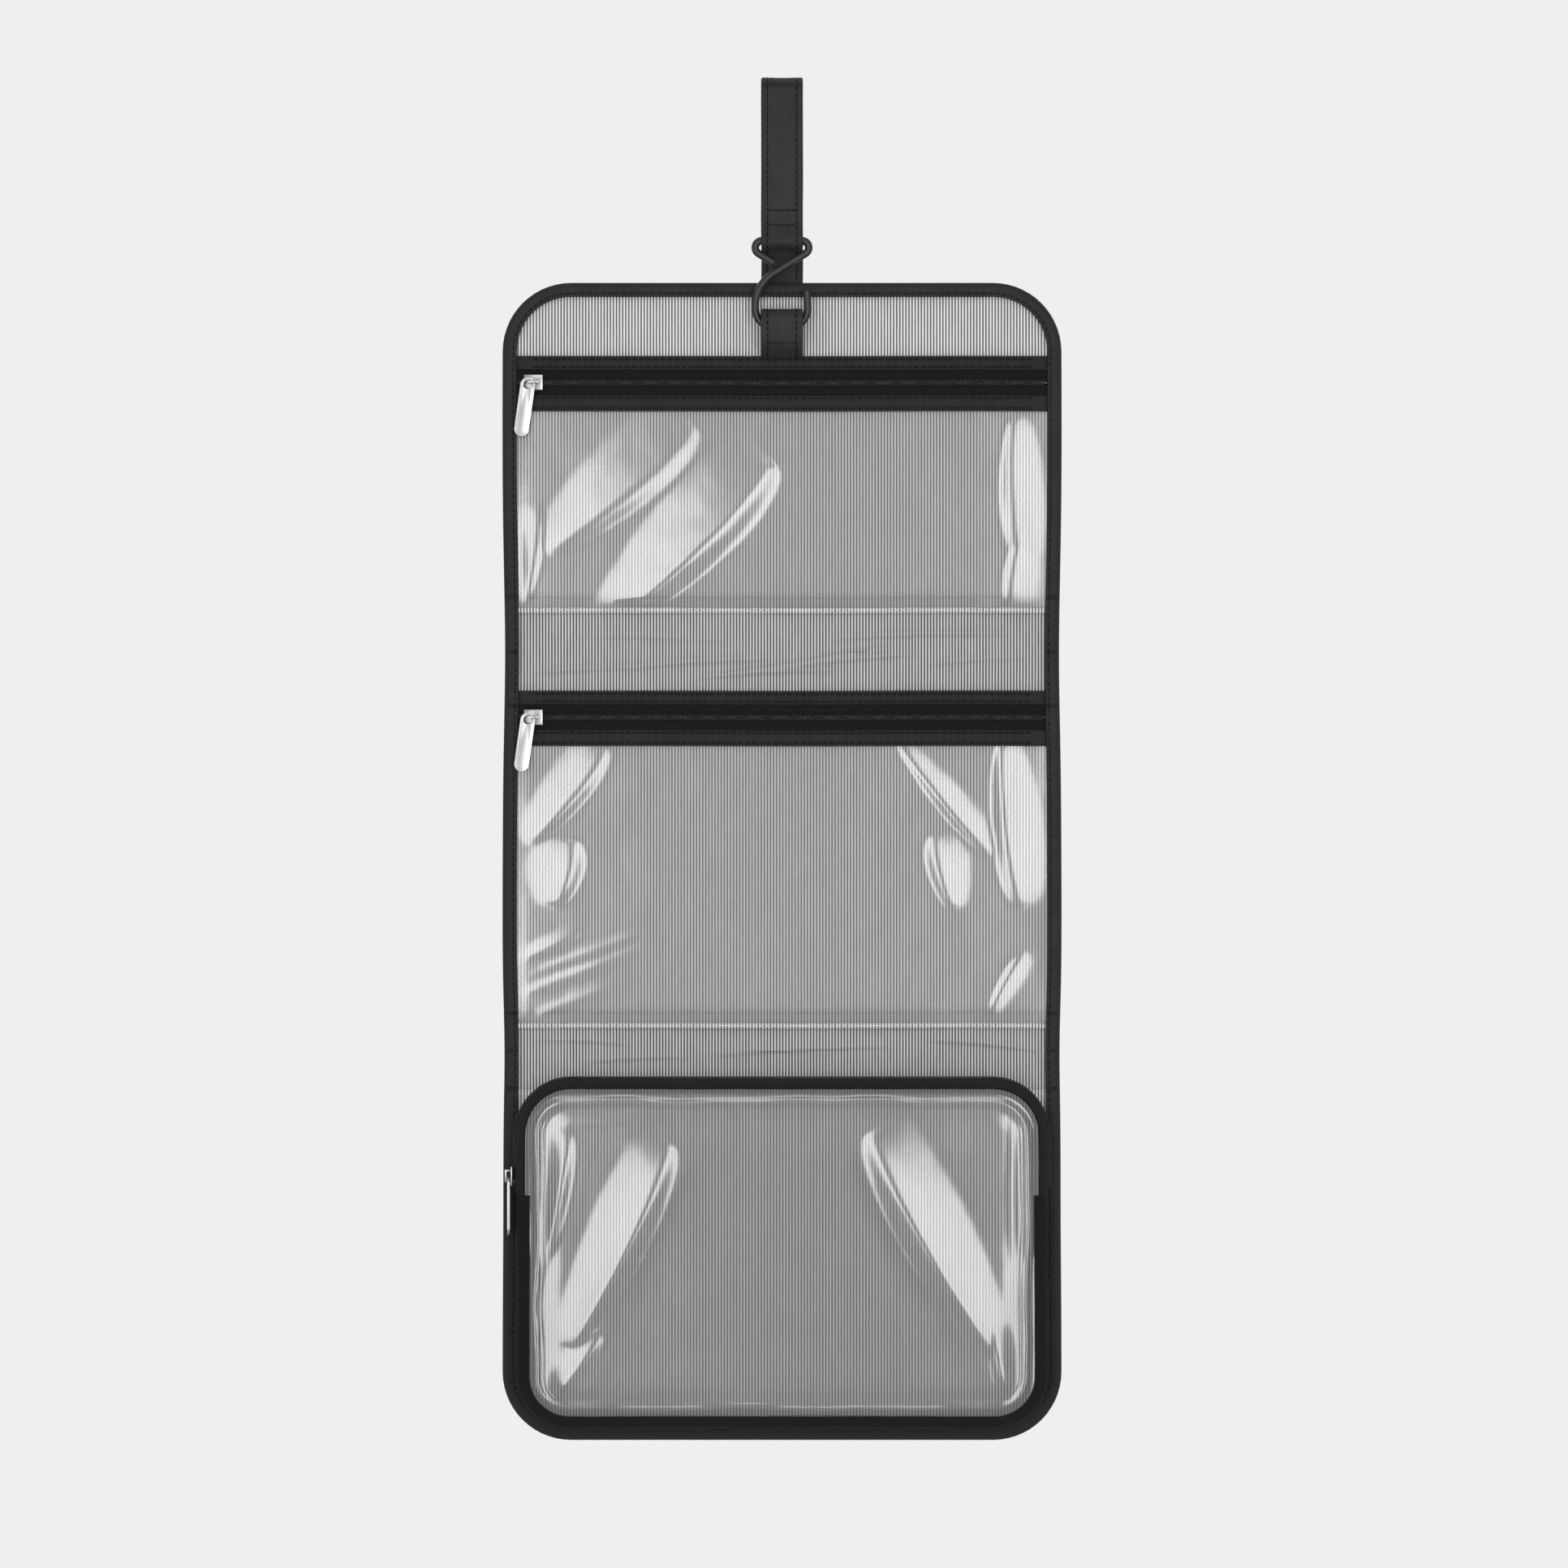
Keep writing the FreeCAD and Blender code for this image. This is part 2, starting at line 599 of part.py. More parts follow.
def bent_wire(corners, radii):
    """A wire path through corner points, each corner rounded by a tangent arc."""
    edges, here = [], corners[0]
    for before, corner, after, radius in zip(corners, corners[1:], corners[2:], radii):
        arrive, leave = (corner - before).normalize(), (after - corner).normalize()
        turn = arrive.getAngle(leave)
        reach = radius * math.tan(turn / 2)
        start, end = corner - arrive * reach, corner + leave * reach
        middle_way = (leave - arrive).normalize()
        centre = corner + middle_way * (radius / math.cos(turn / 2))
        edges.append(Part.LineSegment(here, start).toShape())
        edges.append(Part.Arc(start, centre - middle_way * radius, end).toShape())
        here = end
    edges.append(Part.LineSegment(here, corners[-1]).toShape())
    return Part.Wire(edges)


def wire_hook():
    """One bent wire: a triangle that the strap's end is sewn round, crossing into an open ring."""
    radius, y = wire.value, hook_y.value
    strap_half = cell("strap_width").value / 2
    sleeve = radius + cell("wire_play").value + cell("strap_thickness").value
    top = bar_z.value
    waist = top - cell("hook_waist_drop").value
    ring_half = cell("anchor_width").value / 2 + cell("ring_side_room").value + radius
    ring_z = top - cell("ring_drop").value
    corner_radius = sleeve - cell("wire_play").value
    straight = strap_half - cell("hook_corner_room").value
    slope = math.radians(34)
    for _ in range(12):
        spread = straight + corner_radius * math.tan((math.pi - slope) / 2)
        slope = math.atan2(top - waist, spread)
    gap = (2.2 * radius) / math.sin(2 * slope)
    ring_low = ring_z - ring_half
    arm_meets_ring = waist - ring_half * math.tan(slope)
    places = [(-gap * math.cos(slope), waist + gap * math.sin(slope)), (-spread, top),
              (spread, top), (-ring_half, arm_meets_ring), (-ring_half, ring_low),
              (ring_half, ring_low), (ring_half * 0.92, ring_z + ring_half * 0.34)]
    corners = [FreeCAD.Vector(x, y, z) for x, z in places]
    ring_radius = ring_half * 0.7
    neck_turn = math.pi / 2 - slope
    neck_radius = (arm_meets_ring - ring_low - ring_radius) * 0.9 / math.tan(neck_turn / 2)
    path = bent_wire(corners, [corner_radius, corner_radius, neck_radius, ring_radius,
                               ring_radius])
    start = corners[0]
    profile = Part.Wire(Part.Circle(start, corners[1] - start, radius).toShape())
    hook = doc.addObject("Part::Feature", "hook")
    hook.Shape = path.makePipeShell([profile], True, False)
    hook.Placement = FreeCAD.Placement()
    return hook


keep("hang_strap", strap_loop())
keep("anchor_loop", anchor_loop())
keep("hook", wire_hook())

# ---- check and write --------------------------------------------------------------------------
doc.recompute()
for thing in doc.Objects:
    if "Invalid" in thing.State or "Error" in thing.State:
        raise RuntimeError("%s failed: %s" % (thing.Name, thing.State))
os.makedirs("parts", exist_ok=True)
for label, thing in PARTS.items():
    shape = thing.Shape
    if shape.isNull() or not shape.isValid() or not shape.Solids:
        raise RuntimeError("%s has no valid solid" % label)
    shape.exportStep("parts/%s.step" % label)
    print("%-26s %10.1f mm3  %d solid(s)" % (label, shape.Volume, len(shape.Solids)))
print(len(PARTS), "sub-parts")
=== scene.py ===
# %% [markdown]
# # A hanging toiletry bag
# The bag hangs from a nylon strap. A wire hook on the strap's end closes into a loop on the top
# panel. Below it are two flat zipped pockets of clear vinyl over striped lining, then a zipped box
# pouch. The CAD model gives every place and size. These cells give it cloth, vinyl and thread.

# %% The frame
import bisect
import json
import math

import bmesh
import bpy
from mathutils import Matrix, Vector, noise

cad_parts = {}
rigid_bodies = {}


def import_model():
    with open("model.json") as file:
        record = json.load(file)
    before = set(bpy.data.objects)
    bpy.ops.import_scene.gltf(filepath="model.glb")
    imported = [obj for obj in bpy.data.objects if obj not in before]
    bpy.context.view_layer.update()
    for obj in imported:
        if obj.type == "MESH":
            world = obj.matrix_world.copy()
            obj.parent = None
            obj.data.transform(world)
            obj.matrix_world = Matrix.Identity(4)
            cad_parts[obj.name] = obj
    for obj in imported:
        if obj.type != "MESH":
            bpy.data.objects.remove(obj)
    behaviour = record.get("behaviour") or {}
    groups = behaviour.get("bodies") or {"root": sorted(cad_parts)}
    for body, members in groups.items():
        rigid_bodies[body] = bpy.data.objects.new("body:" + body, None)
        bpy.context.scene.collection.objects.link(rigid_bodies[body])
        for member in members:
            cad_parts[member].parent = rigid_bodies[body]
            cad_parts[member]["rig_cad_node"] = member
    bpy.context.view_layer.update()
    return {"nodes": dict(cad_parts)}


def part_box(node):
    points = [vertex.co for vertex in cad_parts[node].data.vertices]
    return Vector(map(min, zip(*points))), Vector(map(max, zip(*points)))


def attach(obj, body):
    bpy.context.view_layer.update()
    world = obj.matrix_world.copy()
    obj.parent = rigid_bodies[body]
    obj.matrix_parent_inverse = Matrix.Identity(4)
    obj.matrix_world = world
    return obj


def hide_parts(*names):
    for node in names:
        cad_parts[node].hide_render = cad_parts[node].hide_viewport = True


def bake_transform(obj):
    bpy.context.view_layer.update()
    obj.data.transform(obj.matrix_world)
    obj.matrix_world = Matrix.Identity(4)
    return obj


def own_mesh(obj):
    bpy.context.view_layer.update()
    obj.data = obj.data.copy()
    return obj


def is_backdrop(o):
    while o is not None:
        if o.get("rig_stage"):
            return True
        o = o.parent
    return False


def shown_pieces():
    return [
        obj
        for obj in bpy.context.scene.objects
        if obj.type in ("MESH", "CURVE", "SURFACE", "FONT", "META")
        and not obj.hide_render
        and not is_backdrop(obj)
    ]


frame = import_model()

scene = bpy.context.scene
MM = 0.001

# %% [markdown]
# The camera stands well back and straight in front, so the panels look flat and their edges stay
# parallel. A long lens does that. It could also be an orthographic camera, but then the deep pouch
# would lose the slight widening that tells us it stands out from the rest.

# %% Camera
CAMERA_DISTANCE, VIEW_WIDTH, SENSOR = 2.4, 0.7123, 36.0
lens_data = bpy.data.cameras.new("front_camera")
lens_data.sensor_width = SENSOR
lens_data.lens = SENSOR * CAMERA_DISTANCE / VIEW_WIDTH
lens_data.clip_start, lens_data.clip_end = 0.05, 30.0
front_camera = bpy.data.objects.new("front_camera", lens_data)
front_camera.location = (0.0009, -CAMERA_DISTANCE, -0.3145)
front_camera.rotation_euler = (math.radians(90), 0.0, 0.0)
scene.collection.objects.link(front_camera)
scene.camera = front_camera
print("lens", round(lens_data.lens, 1), "mm")

# %% [markdown]
# Clear vinyl shows itself only by what it reflects. Two tall soft boxes beside the camera give the
# long bright shapes near the pockets' left and right sides, and a wide one above lights the upper
# folds. An even pale world does the rest, so there are no hard shadows.

# %% Light
BAG_MIDDLE = Vector((0.0, 0.0, -0.33))
scene.view_settings.view_transform = "Standard"
world = bpy.data.worlds.new("pale_studio")
world.use_nodes = True
backdrop = world.node_tree.nodes["Background"].inputs
backdrop["Color"].default_value = (0.863, 0.863, 0.863, 1.0)
backdrop["Strength"].default_value = 1.0
scene.world = world


def soft_box(name, place, size, radiance):
    """A rectangular area light that faces the middle of the bag and shines evenly."""
    light = bpy.data.lights.new(name, "AREA")
    light.shape = "RECTANGLE"
    light.size, light.size_y = size
    light.energy = radiance * math.pi * size[0] * size[1]
    lamp = bpy.data.objects.new(name, light)
    lamp.location = place
    lamp.rotation_euler = (BAG_MIDDLE - Vector(place)).to_track_quat("-Z", "Y").to_euler()
    scene.collection.objects.link(lamp)


soft_box("left_soft_box", (-0.66, -2.25, -0.30), (0.62, 1.4), 4.7)
soft_box("right_soft_box", (0.68, -2.25, -0.30), (0.62, 1.4), 4.7)
soft_box("top_soft_box", (0.0, -2.1, 0.85), (1.3, 0.45), 2.5)

# %% [markdown]
# The floor is far below, out of the front view. It only catches the other views, so that the bag
# is seen to hang over something plain.

# %% Floor
ground = bmesh.new()
bmesh.ops.create_circle(ground, cap_ends=True, radius=1.1, segments=96,
                        matrix=Matrix.Translation((0.0, 0.0, -0.84)))
floor_mesh = bpy.data.meshes.new("floor")
ground.to_mesh(floor_mesh)
ground.free()
floor = bpy.data.objects.new("floor", floor_mesh)
scene.collection.objects.link(floor)
floor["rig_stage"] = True
print("floor", len(floor_mesh.polygons), "face")

# %% [markdown]
# ## Materials
# Every finish is worked out from the place of a point on the bag, so nothing slides when the bag
# folds and no picture is needed. One small class keeps the node trees short: it starts a material,
# adds a node with its inputs, and has a word for each thing that the finishes do often.

# %% Node helpers
class Finish:
    """A material with its node tree and the place of a point in metres."""

    def __init__(self, name):
        self.material = bpy.data.materials.new(name)
        self.material.use_nodes = True
        self.tree = self.material.node_tree
        self.tree.nodes.clear()
        self.out = self.node("OutputMaterial").inputs["Surface"]
        self.place = self.node("TexCoord").outputs["Object"]
        self.x, self.y, self.z = self.node("SeparateXYZ", Vector=self.place).outputs

    def feed(self, socket, value):
        """Gives an input a number, a colour or another node's output."""
        if isinstance(value, bpy.types.NodeSocket):
            self.tree.links.new(value, socket)
        else:
            socket.default_value = (*value, 1.0) if socket.type == "RGBA" else value

    def node(self, kind, **inputs):
        """A shader node with its named inputs."""
        made = self.tree.nodes.new("ShaderNode" + kind)
        for name, value in inputs.items():
            self.feed(made.inputs[name.replace("_", " ")], value)
        return made

    def maths(self, operation, *values):
        """A sum of numbers and other nodes' outputs."""
        made = self.node("Math")
        made.operation = operation
        for socket, value in zip(made.inputs, values):
            self.feed(socket, value)
        return made.outputs[0]

    def speckle(self, scale, detail=2.0, stretch=(1.0, 1.0, 1.0)):
        """Soft noise from 0 to 1, stretched along the axes where stretch is small."""
        mapped = self.node("Mapping", Vector=self.place, Scale=stretch).outputs[0]
        return self.node("TexNoise", Vector=mapped, Scale=scale, Detail=detail).outputs["Fac"]

    def mix(self, factor, first, second):
        """A colour between two, by a factor."""
        made = self.node("Mix", Factor=factor)
        made.data_type = "RGBA"
        for socket, value in zip([s for s in made.inputs if s.type == "RGBA"], (first, second)):
            self.feed(socket, value)
        return next(s for s in made.outputs if s.type == "RGBA")

    def wave(self, along, pitch):
        """A sine across threads of the given pitch in metres, from -1 to 1."""
        return self.maths("SINE", self.maths("MULTIPLY", along, math.tau / pitch))

    def relief(self, height, depth, strength=1.0):
        """Bumps of the given depth in metres."""
        return self.node("Bump", Height=height, Distance=depth, Strength=strength).outputs[0]

    def coated(self, colour, roughness, **others):
        """The material, once the Principled shader with these inputs is on its output."""
        shader = self.node("BsdfPrincipled", Base_Color=colour, Roughness=roughness, **others)
        self.tree.links.new(shader.outputs[0], self.out)
        return self.material


def scaled(shade, share):
    """A colour made paler or darker."""
    return tuple(c * share for c in shade)


print("node helpers ready")

# %% [markdown]
# Black nylon makes the shell, the bindings, the facings and the pouch's sides. It is a fine plain
# weave with a faint silky sheen, and it goes a little paler and smoother where it has been rubbed.
# The weave's two thread directions lean on all three axes, so it shows on faces of any direction.

# %% Black nylon
def black_nylon(name, shade, rub, shine, pitch=0.42 * MM):
    f = Finish(name)
    warp = f.wave(f.maths("ADD", f.x, f.y), pitch)
    weft = f.wave(f.maths("SUBTRACT", f.z, f.maths("MULTIPLY", f.y, 0.6)), pitch)
    crumple = f.speckle(46.0, 4.0)
    patches = f.speckle(130.0, 3.0, (1.0, 1.0, 0.35))
    colour = f.mix(patches, shade, scaled(shade, 1.0 + rub))
    height = f.maths("MULTIPLY_ADD", f.maths("MULTIPLY", warp, weft), 0.06, crumple)
    return f.coated(colour, f.maths("MULTIPLY_ADD", crumple, 0.22, 0.40),
                    Normal=f.relief(height, 0.5 * MM, 0.55),
                    Specular_IOR_Level=shine, Sheen_Weight=0.03, Sheen_Roughness=0.45)


shell_nylon = black_nylon("shell_nylon", (0.0090, 0.0090, 0.0094), 0.9, 0.14)
binding_nylon = black_nylon("binding_nylon", (0.0095, 0.0095, 0.0099), 0.7, 0.15, 0.36 * MM)
facing_nylon = black_nylon("facing_nylon", (0.0078, 0.0078, 0.0081), 0.8, 0.13, 0.36 * MM)
# Painted shade: the pouch's side walls are the same nylon made much darker, for the shade on walls
# that lean in and face sideways.
shaded_gusset_nylon = black_nylon("shaded_gusset_nylon", (0.0036, 0.0036, 0.0038), 0.8, 0.07)
strap_nylon = black_nylon("strap_nylon", (0.0100, 0.0100, 0.0104), 1.3, 0.15, 0.5 * MM)
print("nylon finishes", 5)

# %% [markdown]
# The lining is ticking: fine vertical stripes, dark yarn beside pale, 1.4 mm from one dark stripe
# to the next. A wave across the bag gives the stripes, and stretched noise lets their edges wander
# as yarn does. The weft is a much finer ripple, seen only from near.

# %% Striped ticking
STRIPE_PITCH = 1.40 * MM


def striped_ticking(name, pale, dark):
    f = Finish(name)
    wander = f.speckle(900.0, 2.0, (1.0, 0.2, 0.12))
    edge = f.maths("ADD", f.wave(f.x, STRIPE_PITCH), f.maths("MULTIPLY_ADD", wander, 0.6, -0.3))
    share = f.node("MapRange", Value=edge, From_Min=-0.55, From_Max=0.55)
    share.interpolation_type = "SMOOTHSTEP"
    paler = f.mix(f.speckle(14.0), scaled(pale, 0.93), pale)
    threads = f.maths("ADD", f.wave(f.z, 0.34 * MM), f.wave(f.x, 0.35 * MM))
    height = f.maths("MULTIPLY", threads, 0.4)
    return f.coated(f.mix(share.outputs[0], paler, dark), f.maths("MULTIPLY_ADD", wander, 0.16, 0.62),
                    Normal=f.relief(height, 0.05 * MM, 0.5), Specular_IOR_Level=0.3, Sheen_Weight=0.1)


striped_lining = striped_ticking("striped_lining", (0.62, 0.62, 0.62), (0.096, 0.096, 0.100))
# Painted shade: the fold strips' lining is the same ticking given darker colours, for the shade on
# the sunken fold strips.
shaded_fold_lining = striped_ticking("shaded_fold_lining", (0.475, 0.475, 0.475), (0.060, 0.060, 0.063))
print("stripes a metre", round(1 / STRIPE_PITCH))

# %% [markdown]
# Clear vinyl is a thin sheet that light goes straight through, a little dulled. Real refraction
# would bend the stripes hardly at all, and would shade the lining, so a see-through shader is mixed
# with a mirror one by the Fresnel share. The index is high because a sheet mirrors on two faces.

# %% Clear vinyl
VINYL_INDEX, VINYL_HAZE = 1.90, 0.17


def clear_vinyl(name, dulling):
    f = Finish(name)
    through = f.node("BsdfTransparent", Color=dulling)
    ripple = f.maths("MULTIPLY_ADD", f.speckle(120.0, 1.0), 0.02, f.speckle(38.0, 1.5))
    mirror = f.node("BsdfPrincipled", Base_Color=(1.0, 1.0, 1.0), Metallic=1.0,
                    Roughness=VINYL_HAZE, Normal=f.relief(ripple, 0.45 * MM))
    both = f.node("MixShader")
    for socket, source in zip(both.inputs, (f.node("Fresnel", IOR=VINYL_INDEX), through, mirror)):
        f.feed(socket, source.outputs[0])
    f.tree.links.new(both.outputs[0], f.out)
    return f.material


pocket_vinyl = clear_vinyl("pocket_vinyl", (0.79, 0.79, 0.795))
# Painted light: the pouch's front is the same vinyl dulled less, so the deep pouch's inside looks
# brighter than its shading gives.
lightened_pouch_vinyl = clear_vinyl("lightened_pouch_vinyl", (0.88, 0.88, 0.885))
print("vinyl mirrors", round(((VINYL_INDEX - 1) / (VINYL_INDEX + 1)) ** 2 * 100, 1), "% face on")

# %% [markdown]
# The zips are a woven tape with a herringbone rib, and coils of hard nylon. The coil is shinier
# than the tape, so a row of small glints runs along it.

# %% Zip tape and coil
TAPE_SHADE, COIL_SHADE = (0.0078, 0.0078, 0.0081), (0.0100, 0.0100, 0.0105)

f = Finish("zip_tape_cloth")
bend = f.maths("PINGPONG", f.maths("ADD", f.z, f.y), 1.1 * MM)
rib = f.wave(f.maths("ADD", f.x, bend), 0.62 * MM)
fuzz = f.speckle(1400.0)
zip_tape_cloth = f.coated(
    f.mix(fuzz, scaled(TAPE_SHADE, 0.6), scaled(TAPE_SHADE, 1.5)), 0.82,
    Normal=f.relief(f.maths("ADD", rib, fuzz), 0.12 * MM, 0.8), Sheen_Weight=0.03,
    Specular_IOR_Level=0.10)

f = Finish("zip_coil_nylon")
scuff = f.speckle(700.0, 3.0)
zip_coil_nylon = f.coated(
    f.mix(scuff, COIL_SHADE, scaled(COIL_SHADE, 1.8)), f.maths("MULTIPLY_ADD", scuff, 0.2, 0.26),
    Normal=f.relief(scuff, 0.03 * MM, 0.4), Specular_IOR_Level=0.32)
print("zip finishes", 2)

# %% [markdown]
# The sliders and pulls are cast zinc with a satin nickel plate, brushed lengthwise; an ambient
# occlusion node darkens the plate's colour in its recesses, which is painted shade. The hook is
# steel wire with a black coat that has a soft shine and rubs through slightly on its bends. Thread
# is twisted, so a fine ripple slants across it.

# %% Metals and thread
f = Finish("satin_nickel")
brush = f.speckle(2600.0, 2.0, (1.0, 1.0, 0.06))
plate = f.mix(f.speckle(240.0), (0.30, 0.295, 0.29), (0.335, 0.33, 0.325))
# Painted shade: the plate's colour is darkened where the ambient occlusion node finds recesses.
painted_recess_shade = f.node("AmbientOcclusion", Color=plate, Distance=2.5 * MM)
painted_recess_shade.samples = 16
nickel = f.coated(painted_recess_shade.outputs["Color"], f.maths("MULTIPLY_ADD", brush, 0.14, 0.20),
                  Normal=f.relief(brush, 0.006 * MM, 0.2), Metallic=1.0)

f = Finish("hook_coat")
worn = f.speckle(320.0, 4.0)
hook_coat = f.coated(
    f.mix(worn, (0.006, 0.006, 0.0065), (0.016, 0.016, 0.0165)),
    f.maths("MULTIPLY_ADD", worn, 0.14, 0.22),
    Normal=f.relief(worn, 0.05 * MM, 0.3), Specular_IOR_Level=0.34)


def twisted_thread(name, shade, shine):
    f = Finish(name)
    twist = f.wave(f.maths("ADD", f.x, f.z), 0.3 * MM)
    return f.coated(f.mix(f.speckle(2200.0), scaled(shade, 0.7), shade), 0.5,
                    Normal=f.relief(twist, 0.04 * MM, 0.6), Specular_IOR_Level=shine)


black_thread = twisted_thread("black_thread", (0.0035, 0.0035, 0.0037), 0.12)
clear_thread = twisted_thread("clear_thread", (0.62, 0.62, 0.62), 0.4)
f = Finish("matt_floor")
floor_mesh.materials.append(
    f.coated(f.mix(f.speckle(3.0), (0.80, 0.80, 0.80), (0.83, 0.83, 0.83)), 0.9))
print("finishes in all", len(bpy.data.materials))

# %% [markdown]
# Each finish belongs to one of the CAD model's slots. Thread counts as nylon.

# %% Slots
SLOTS = {
    "black_nylon": (shell_nylon, binding_nylon, facing_nylon, shaded_gusset_nylon, black_thread,
                    clear_thread),
    "striped_lining": (striped_lining, shaded_fold_lining), "clear_vinyl": (pocket_vinyl, lightened_pouch_vinyl),
    "zip_tape": (zip_tape_cloth,), "zip_coil": (zip_coil_nylon,), "satin_nickel": (nickel,),
    "webbing": (strap_nylon,)}
slot_of = {finish.name: slot for slot, finishes in SLOTS.items() for finish in finishes}
print("slots in use", len(SLOTS))

# %% [markdown]
# ## Drawing cloth along a line
# Bindings, tapes and walls are all one section drawn along an outline: straight down a side, round
# a corner, and on. Extruding the section's edges makes the straights and the spin operator makes
# the corners. A curve with a bevel could do this too, but it would twist the flat sections.

# %% Section helpers
OUTLINE_STEP = 3 * MM
ROW_INSET = 1.5 * MM
Y_AXIS = (0, 1, 0)


def verts_of(geom):
    return [g for g in geom if isinstance(g, bmesh.types.BMVert)]


def section_edges(bm, points, closed=True):
    """The edges of a section from its points; a closed one comes back to its start."""
    verts = [bm.verts.new(p) for p in points]
    pairs = list(zip(verts, verts[1:] + verts[:1])) if closed else list(zip(verts, verts[1:]))
    return [bm.edges.new(pair) for pair in pairs]


def extruded(bm, edges):
    """The edges drawn out by nothing: the new vertices, and the edges between them."""
    grown = bmesh.ops.extrude_edge_only(bm, edges=edges)["geom"]
    fresh = set(verts_of(grown))
    return list(fresh), [g for g in grown if isinstance(g, bmesh.types.BMEdge)
                         and g.verts[0] in fresh and g.verts[1] in fresh]


def draw_straight(bm, edges, way, step):
    """The section drawn along a straight line, and the edges at its new end."""
    steps = max(1, round(Vector(way).length / step))
    for _ in range(steps):
        fresh, edges = extruded(bm, edges)
        bmesh.ops.translate(bm, verts=fresh, vec=Vector(way) / steps)
    return edges


def draw_corner(bm, edges, centre, angle, steps):
    """The section turned round a corner, and the edges at its new end."""
    verts = list({v for e in edges for v in e.verts})
    grown = bmesh.ops.spin(bm, geom=verts + edges, cent=centre, axis=Y_AXIS, dvec=(0, 0, 0),
                           angle=angle, steps=steps, use_duplicate=False)["geom_last"]
    return [g for g in grown if isinstance(g, bmesh.types.BMEdge)]


def draw_outline(bm, points, half_width, z_start, z_far, radius, corner_steps=14, closed=True):
    """A section drawn down the left side, round two corners and back up the right side.

    points are (outset, y) pairs, where outset is how far the point is outside the outline.
    It gives back the outline's length."""
    down = -1.0 if z_far < z_start else 1.0
    inner, side = half_width - radius, abs(z_far - z_start) - radius
    turn_z, quarter = z_start + down * side, down * math.pi / 2
    edges = section_edges(bm, [(-half_width - out, y, z_start) for out, y in points], closed)
    edges = draw_straight(bm, edges, (0, 0, down * side), OUTLINE_STEP)
    edges = draw_corner(bm, edges, (-inner, 0, turn_z), quarter, corner_steps)
    edges = draw_straight(bm, edges, (2 * inner, 0, 0), OUTLINE_STEP)
    edges = draw_corner(bm, edges, (inner, 0, turn_z), quarter, corner_steps)
    draw_straight(bm, edges, (0, 0, -down * side), OUTLINE_STEP)
    return 2 * side + 2 * inner + math.pi * radius


def flat_section(low, high, thickness, lift):
    """A strip's section in two axes, from low to high. With lift it is nipped at its stitch rows."""
    r, wide = thickness / 2, high - low
    if lift:
        half = [(0.4 * ROW_INSET, 0.9), (ROW_INSET, 0.15), (0.32 * wide, 0.8)]
        stations = half + [(0.5 * wide, 1.0)] + [(wide - s, share) for s, share in reversed(half)]
    else:
        stations = [(0.15 * wide, 0.0), (0.5 * wide, 0.0), (0.85 * wide, 0.0)]
    front = [(low + s, r + lift * share) for s, share in stations]
    return front + [(high, 0.0)] + [(a, -r) for a, b in reversed(front)] + [(low, 0.0)]


print("section helpers ready")

# %% [markdown]
# Sewn cloth is never quite straight. The fold strips have no foam, so the bag draws in a little
# there, and every soft piece is moved by the same gentle rule, so that neighbours stay together.

# %% Settling and finishing
MOST_SIDES = 40
upper_low, upper_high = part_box("upper_shell")[0].z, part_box("upper_binding")[1].z
middle_low, middle_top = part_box("middle_shell")[0].z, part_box("middle_shell")[1].z
pouch_low, pouch_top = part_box("pouch_binding")[0].z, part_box("pouch_shell")[1].z
half_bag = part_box("upper_binding")[1].x


def share_of(value):
    """The value, held between 0 and 1."""
    return min(1.0, max(0.0, value))


def eased(value):
    """The same, starting and ending gently."""
    value = share_of(value)
    return value * value * (3 - 2 * value)


def waist(z):
    """How much narrower the bag is at a height, as a share of its width."""
    upper = math.exp(-((z - (upper_low + middle_top) / 2) / 0.045) ** 2)
    lower = math.exp(-((z - (middle_low + pouch_top) / 2) / 0.030) ** 2)
    return 0.0085 * upper + 0.0060 * lower


def settled(co):
    """A point of a soft piece after the cloth has drawn in and wandered a little."""
    x, y, z = co
    wander = noise.noise(Vector((3.1, 0.0, z * 9.0))) * (0.5 if x < 0 else -0.6) * MM
    side = min(1.0, abs(x) / half_bag) ** 3
    rise = noise.noise(Vector((x * 9.0, 4.2, 0.0))) * 0.5 * MM if z > -0.43 else 0.0
    return Vector((x * (1 - waist(z)) + wander * side, y, z + rise * share_of((-0.08 - z) / 0.05)))


def finished(bm, name, finish, body=None, stands_for=(), soft=True, capped=False):
    """The mesh as a named piece with its finish, riding on a body if one is given."""
    if capped:
        rims = [e for e in bm.edges if e.is_boundary]
        bmesh.ops.holes_fill(bm, edges=rims, sides=MOST_SIDES)
    bmesh.ops.recalc_face_normals(bm, faces=bm.faces)
    if soft:
        for v in bm.verts:
            v.co = settled(v.co)
    for f in bm.faces:
        f.smooth = True
    mesh = bpy.data.meshes.new(name)
    bm.to_mesh(mesh)
    bm.free()
    mesh.materials.append(finish)
    piece = bpy.data.objects.new(name, mesh)
    scene.collection.objects.link(piece)
    if stands_for:
        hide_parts(*stands_for)
    if body:
        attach(piece, body)
    print(name, len(mesh.polygons), "faces")
    return piece


print("bag half width", round(half_bag * 1000, 1), "mm")

# %% [markdown]
# The bindings are nylon tape folded over the raw edges of shell, foam and lining. The section is a
# soft C: it bulges where the layers fill it and is nipped in by its row of stitches. One runs round
# the top panel and one round the pouch, as a single tape does on the real bag.

